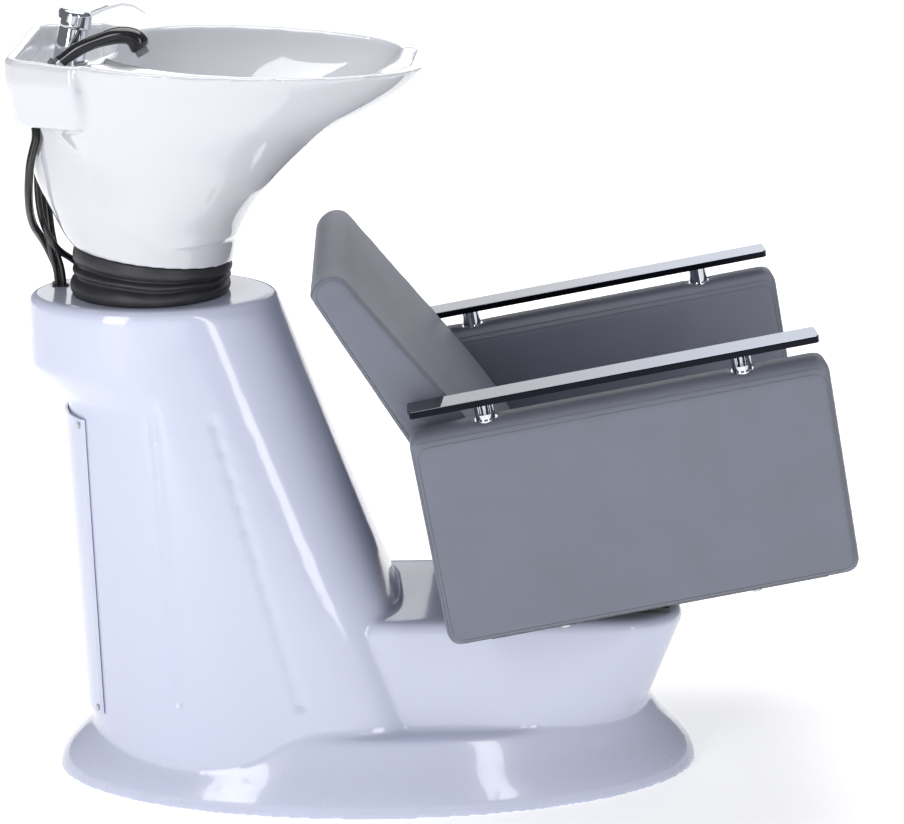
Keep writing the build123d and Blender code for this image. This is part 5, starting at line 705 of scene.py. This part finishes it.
# Painted reflection: the rail tops are coloured darker at the rear and lighter towards the front.
along = polish.place.part("X").ramp(RAIL_REAR_X, RAIL_FRONT_X)
polish.feed(Base_Color=painted_edge_reflection.blend(along.blend(tint(*RAIL_REAR_PAINTED_REFLECTION), tint(*RAIL_FRONT_PAINTED_REFLECTION)), tint(*EDGE_PAINTED_REFLECTION)),
            Roughness=0.05 + polish.place.speckle(130.0, 4.0).ramp(0.45, 0.8) * 0.08 + painted_edge_reflection * 0.2)
polish.onto("armrest_rail_right", "armrest_rail_left")


# Plywood boards
# Bare birch plywood that the foam is glued to.

PLYWOOD = (0.52, 0.36, 0.20)
PLYWOOD_DARK = (0.40, 0.26, 0.13)
plywood = Finish("plywood", PLYWOOD, 0.6)
veneer = plywood.place.node("ShaderNodeTexWave", None, {"Vector": plywood.place, "Scale": 30.0, "Distortion": 6.0,
                                                        "Detail": 3.0}, 1)
plywood.feed(Base_Color=(veneer * 0.7).blend(tint(*PLYWOOD), tint(*PLYWOOD_DARK)))
plywood.onto("seat_board", "backrest_board", "side_core_right", "side_core_left")


# Studio
# Pale floor that glows by its own emission, faintly near the unit to lift its shadows and brighter far off where
# it stands in for a lit white wall; two tall soft boxes in front and one above.

FLOOR_REACH = 30.0
FLOOR_PALE = (0.90, 0.90, 0.91)
FLOOR_GLOW_NEAR = (0.50, 0.50, 0.50)
FLOOR_GLOW_FAR = (0.95, 0.95, 0.95)
GLOW_NEAR = 0.3
GLOW_FAR = 4.0
# Painted light: the floor is no lamp, but it glows, more strongly with distance from the unit.
pale = Finish("pale_floor", FLOOR_PALE, 0.9, Emission_Strength=1.0)
reach = pale.place.node("ShaderNodeVectorMath", {"operation": "LENGTH"}, {0: pale.place}, 1)
pale.feed(Emission_Color=reach.ramp(GLOW_NEAR, GLOW_FAR).blend(tint(*FLOOR_GLOW_NEAR), tint(*FLOOR_GLOW_FAR)))
floor_mesh = bpy.data.meshes.new("floor")
floor_mesh.from_pydata([(-FLOOR_REACH, -FLOOR_REACH, 0), (FLOOR_REACH, -FLOOR_REACH, 0),
                        (FLOOR_REACH, FLOOR_REACH, 0), (-FLOOR_REACH, FLOOR_REACH, 0)], [], [(0, 1, 2, 3)])
floor_mesh.materials.append(pale.material)
floor = add_piece("floor", floor_mesh)

WORLD_TINT = (0.93, 0.94, 1.0, 1.0)
WORLD_STRENGTH = 0.24
world = bpy.context.scene.world or bpy.data.worlds.new("studio")
bpy.context.scene.world = world
world.use_nodes = True
sky = world.node_tree.nodes["Background"]
sky.inputs["Color"].default_value = WORLD_TINT
sky.inputs["Strength"].default_value = WORLD_STRENGTH

AIM = Vector((0.0, 0.0, 0.7))


def soft_box(name, place, width, height, glow):
    """A rectangular studio light that faces the unit, with its glow per square metre."""
    lamp = bpy.data.lights.new(name, "AREA")
    lamp.shape = "RECTANGLE"
    lamp.size = width
    lamp.size_y = height
    lamp.energy = glow * math.pi * width * height
    holder = bpy.data.objects.new(name, lamp)
    bpy.context.scene.collection.objects.link(holder)
    holder.location = place
    holder.rotation_euler = (AIM - Vector(place)).to_track_quat("-Z", "Y").to_euler()


# Place, width, height and glow of each
for name, place, width, height, glow in (
        ("left_box", (-1.80, -2.90, 1.40), 0.80, 2.60, 6.2),
        ("right_box", (1.45, -3.05, 1.40), 0.40, 2.20, 6.0),
        ("top_box", (-0.1, 0.3, 3.0), 2.4, 1.8, 3.7),
        ("far_box", (0.4, 3.6, 2.2), 3.5, 2.0, 1.2)):
    soft_box(name, place, width, height, glow)

# Camera
# Long lens at about head height on the sitter's right, level with the photograph's view.

LENS_MM = 110.3
CAMERA_PLACE = Vector((0.0013, -3.7209, 1.5844))
CAMERA_AHEAD = Vector((0.026938, 0.960884, -0.275637))
lens = bpy.data.cameras.new("view")
lens.lens = LENS_MM
lens.sensor_width = 36.0
lens.clip_end = 100.0
camera = bpy.data.objects.new("view", lens)
bpy.context.scene.collection.objects.link(camera)
camera.location = CAMERA_PLACE
camera.rotation_euler = CAMERA_AHEAD.to_track_quat("-Z", "Y").to_euler()
bpy.context.scene.camera = camera
bpy.context.scene.view_settings.view_transform = "Standard"
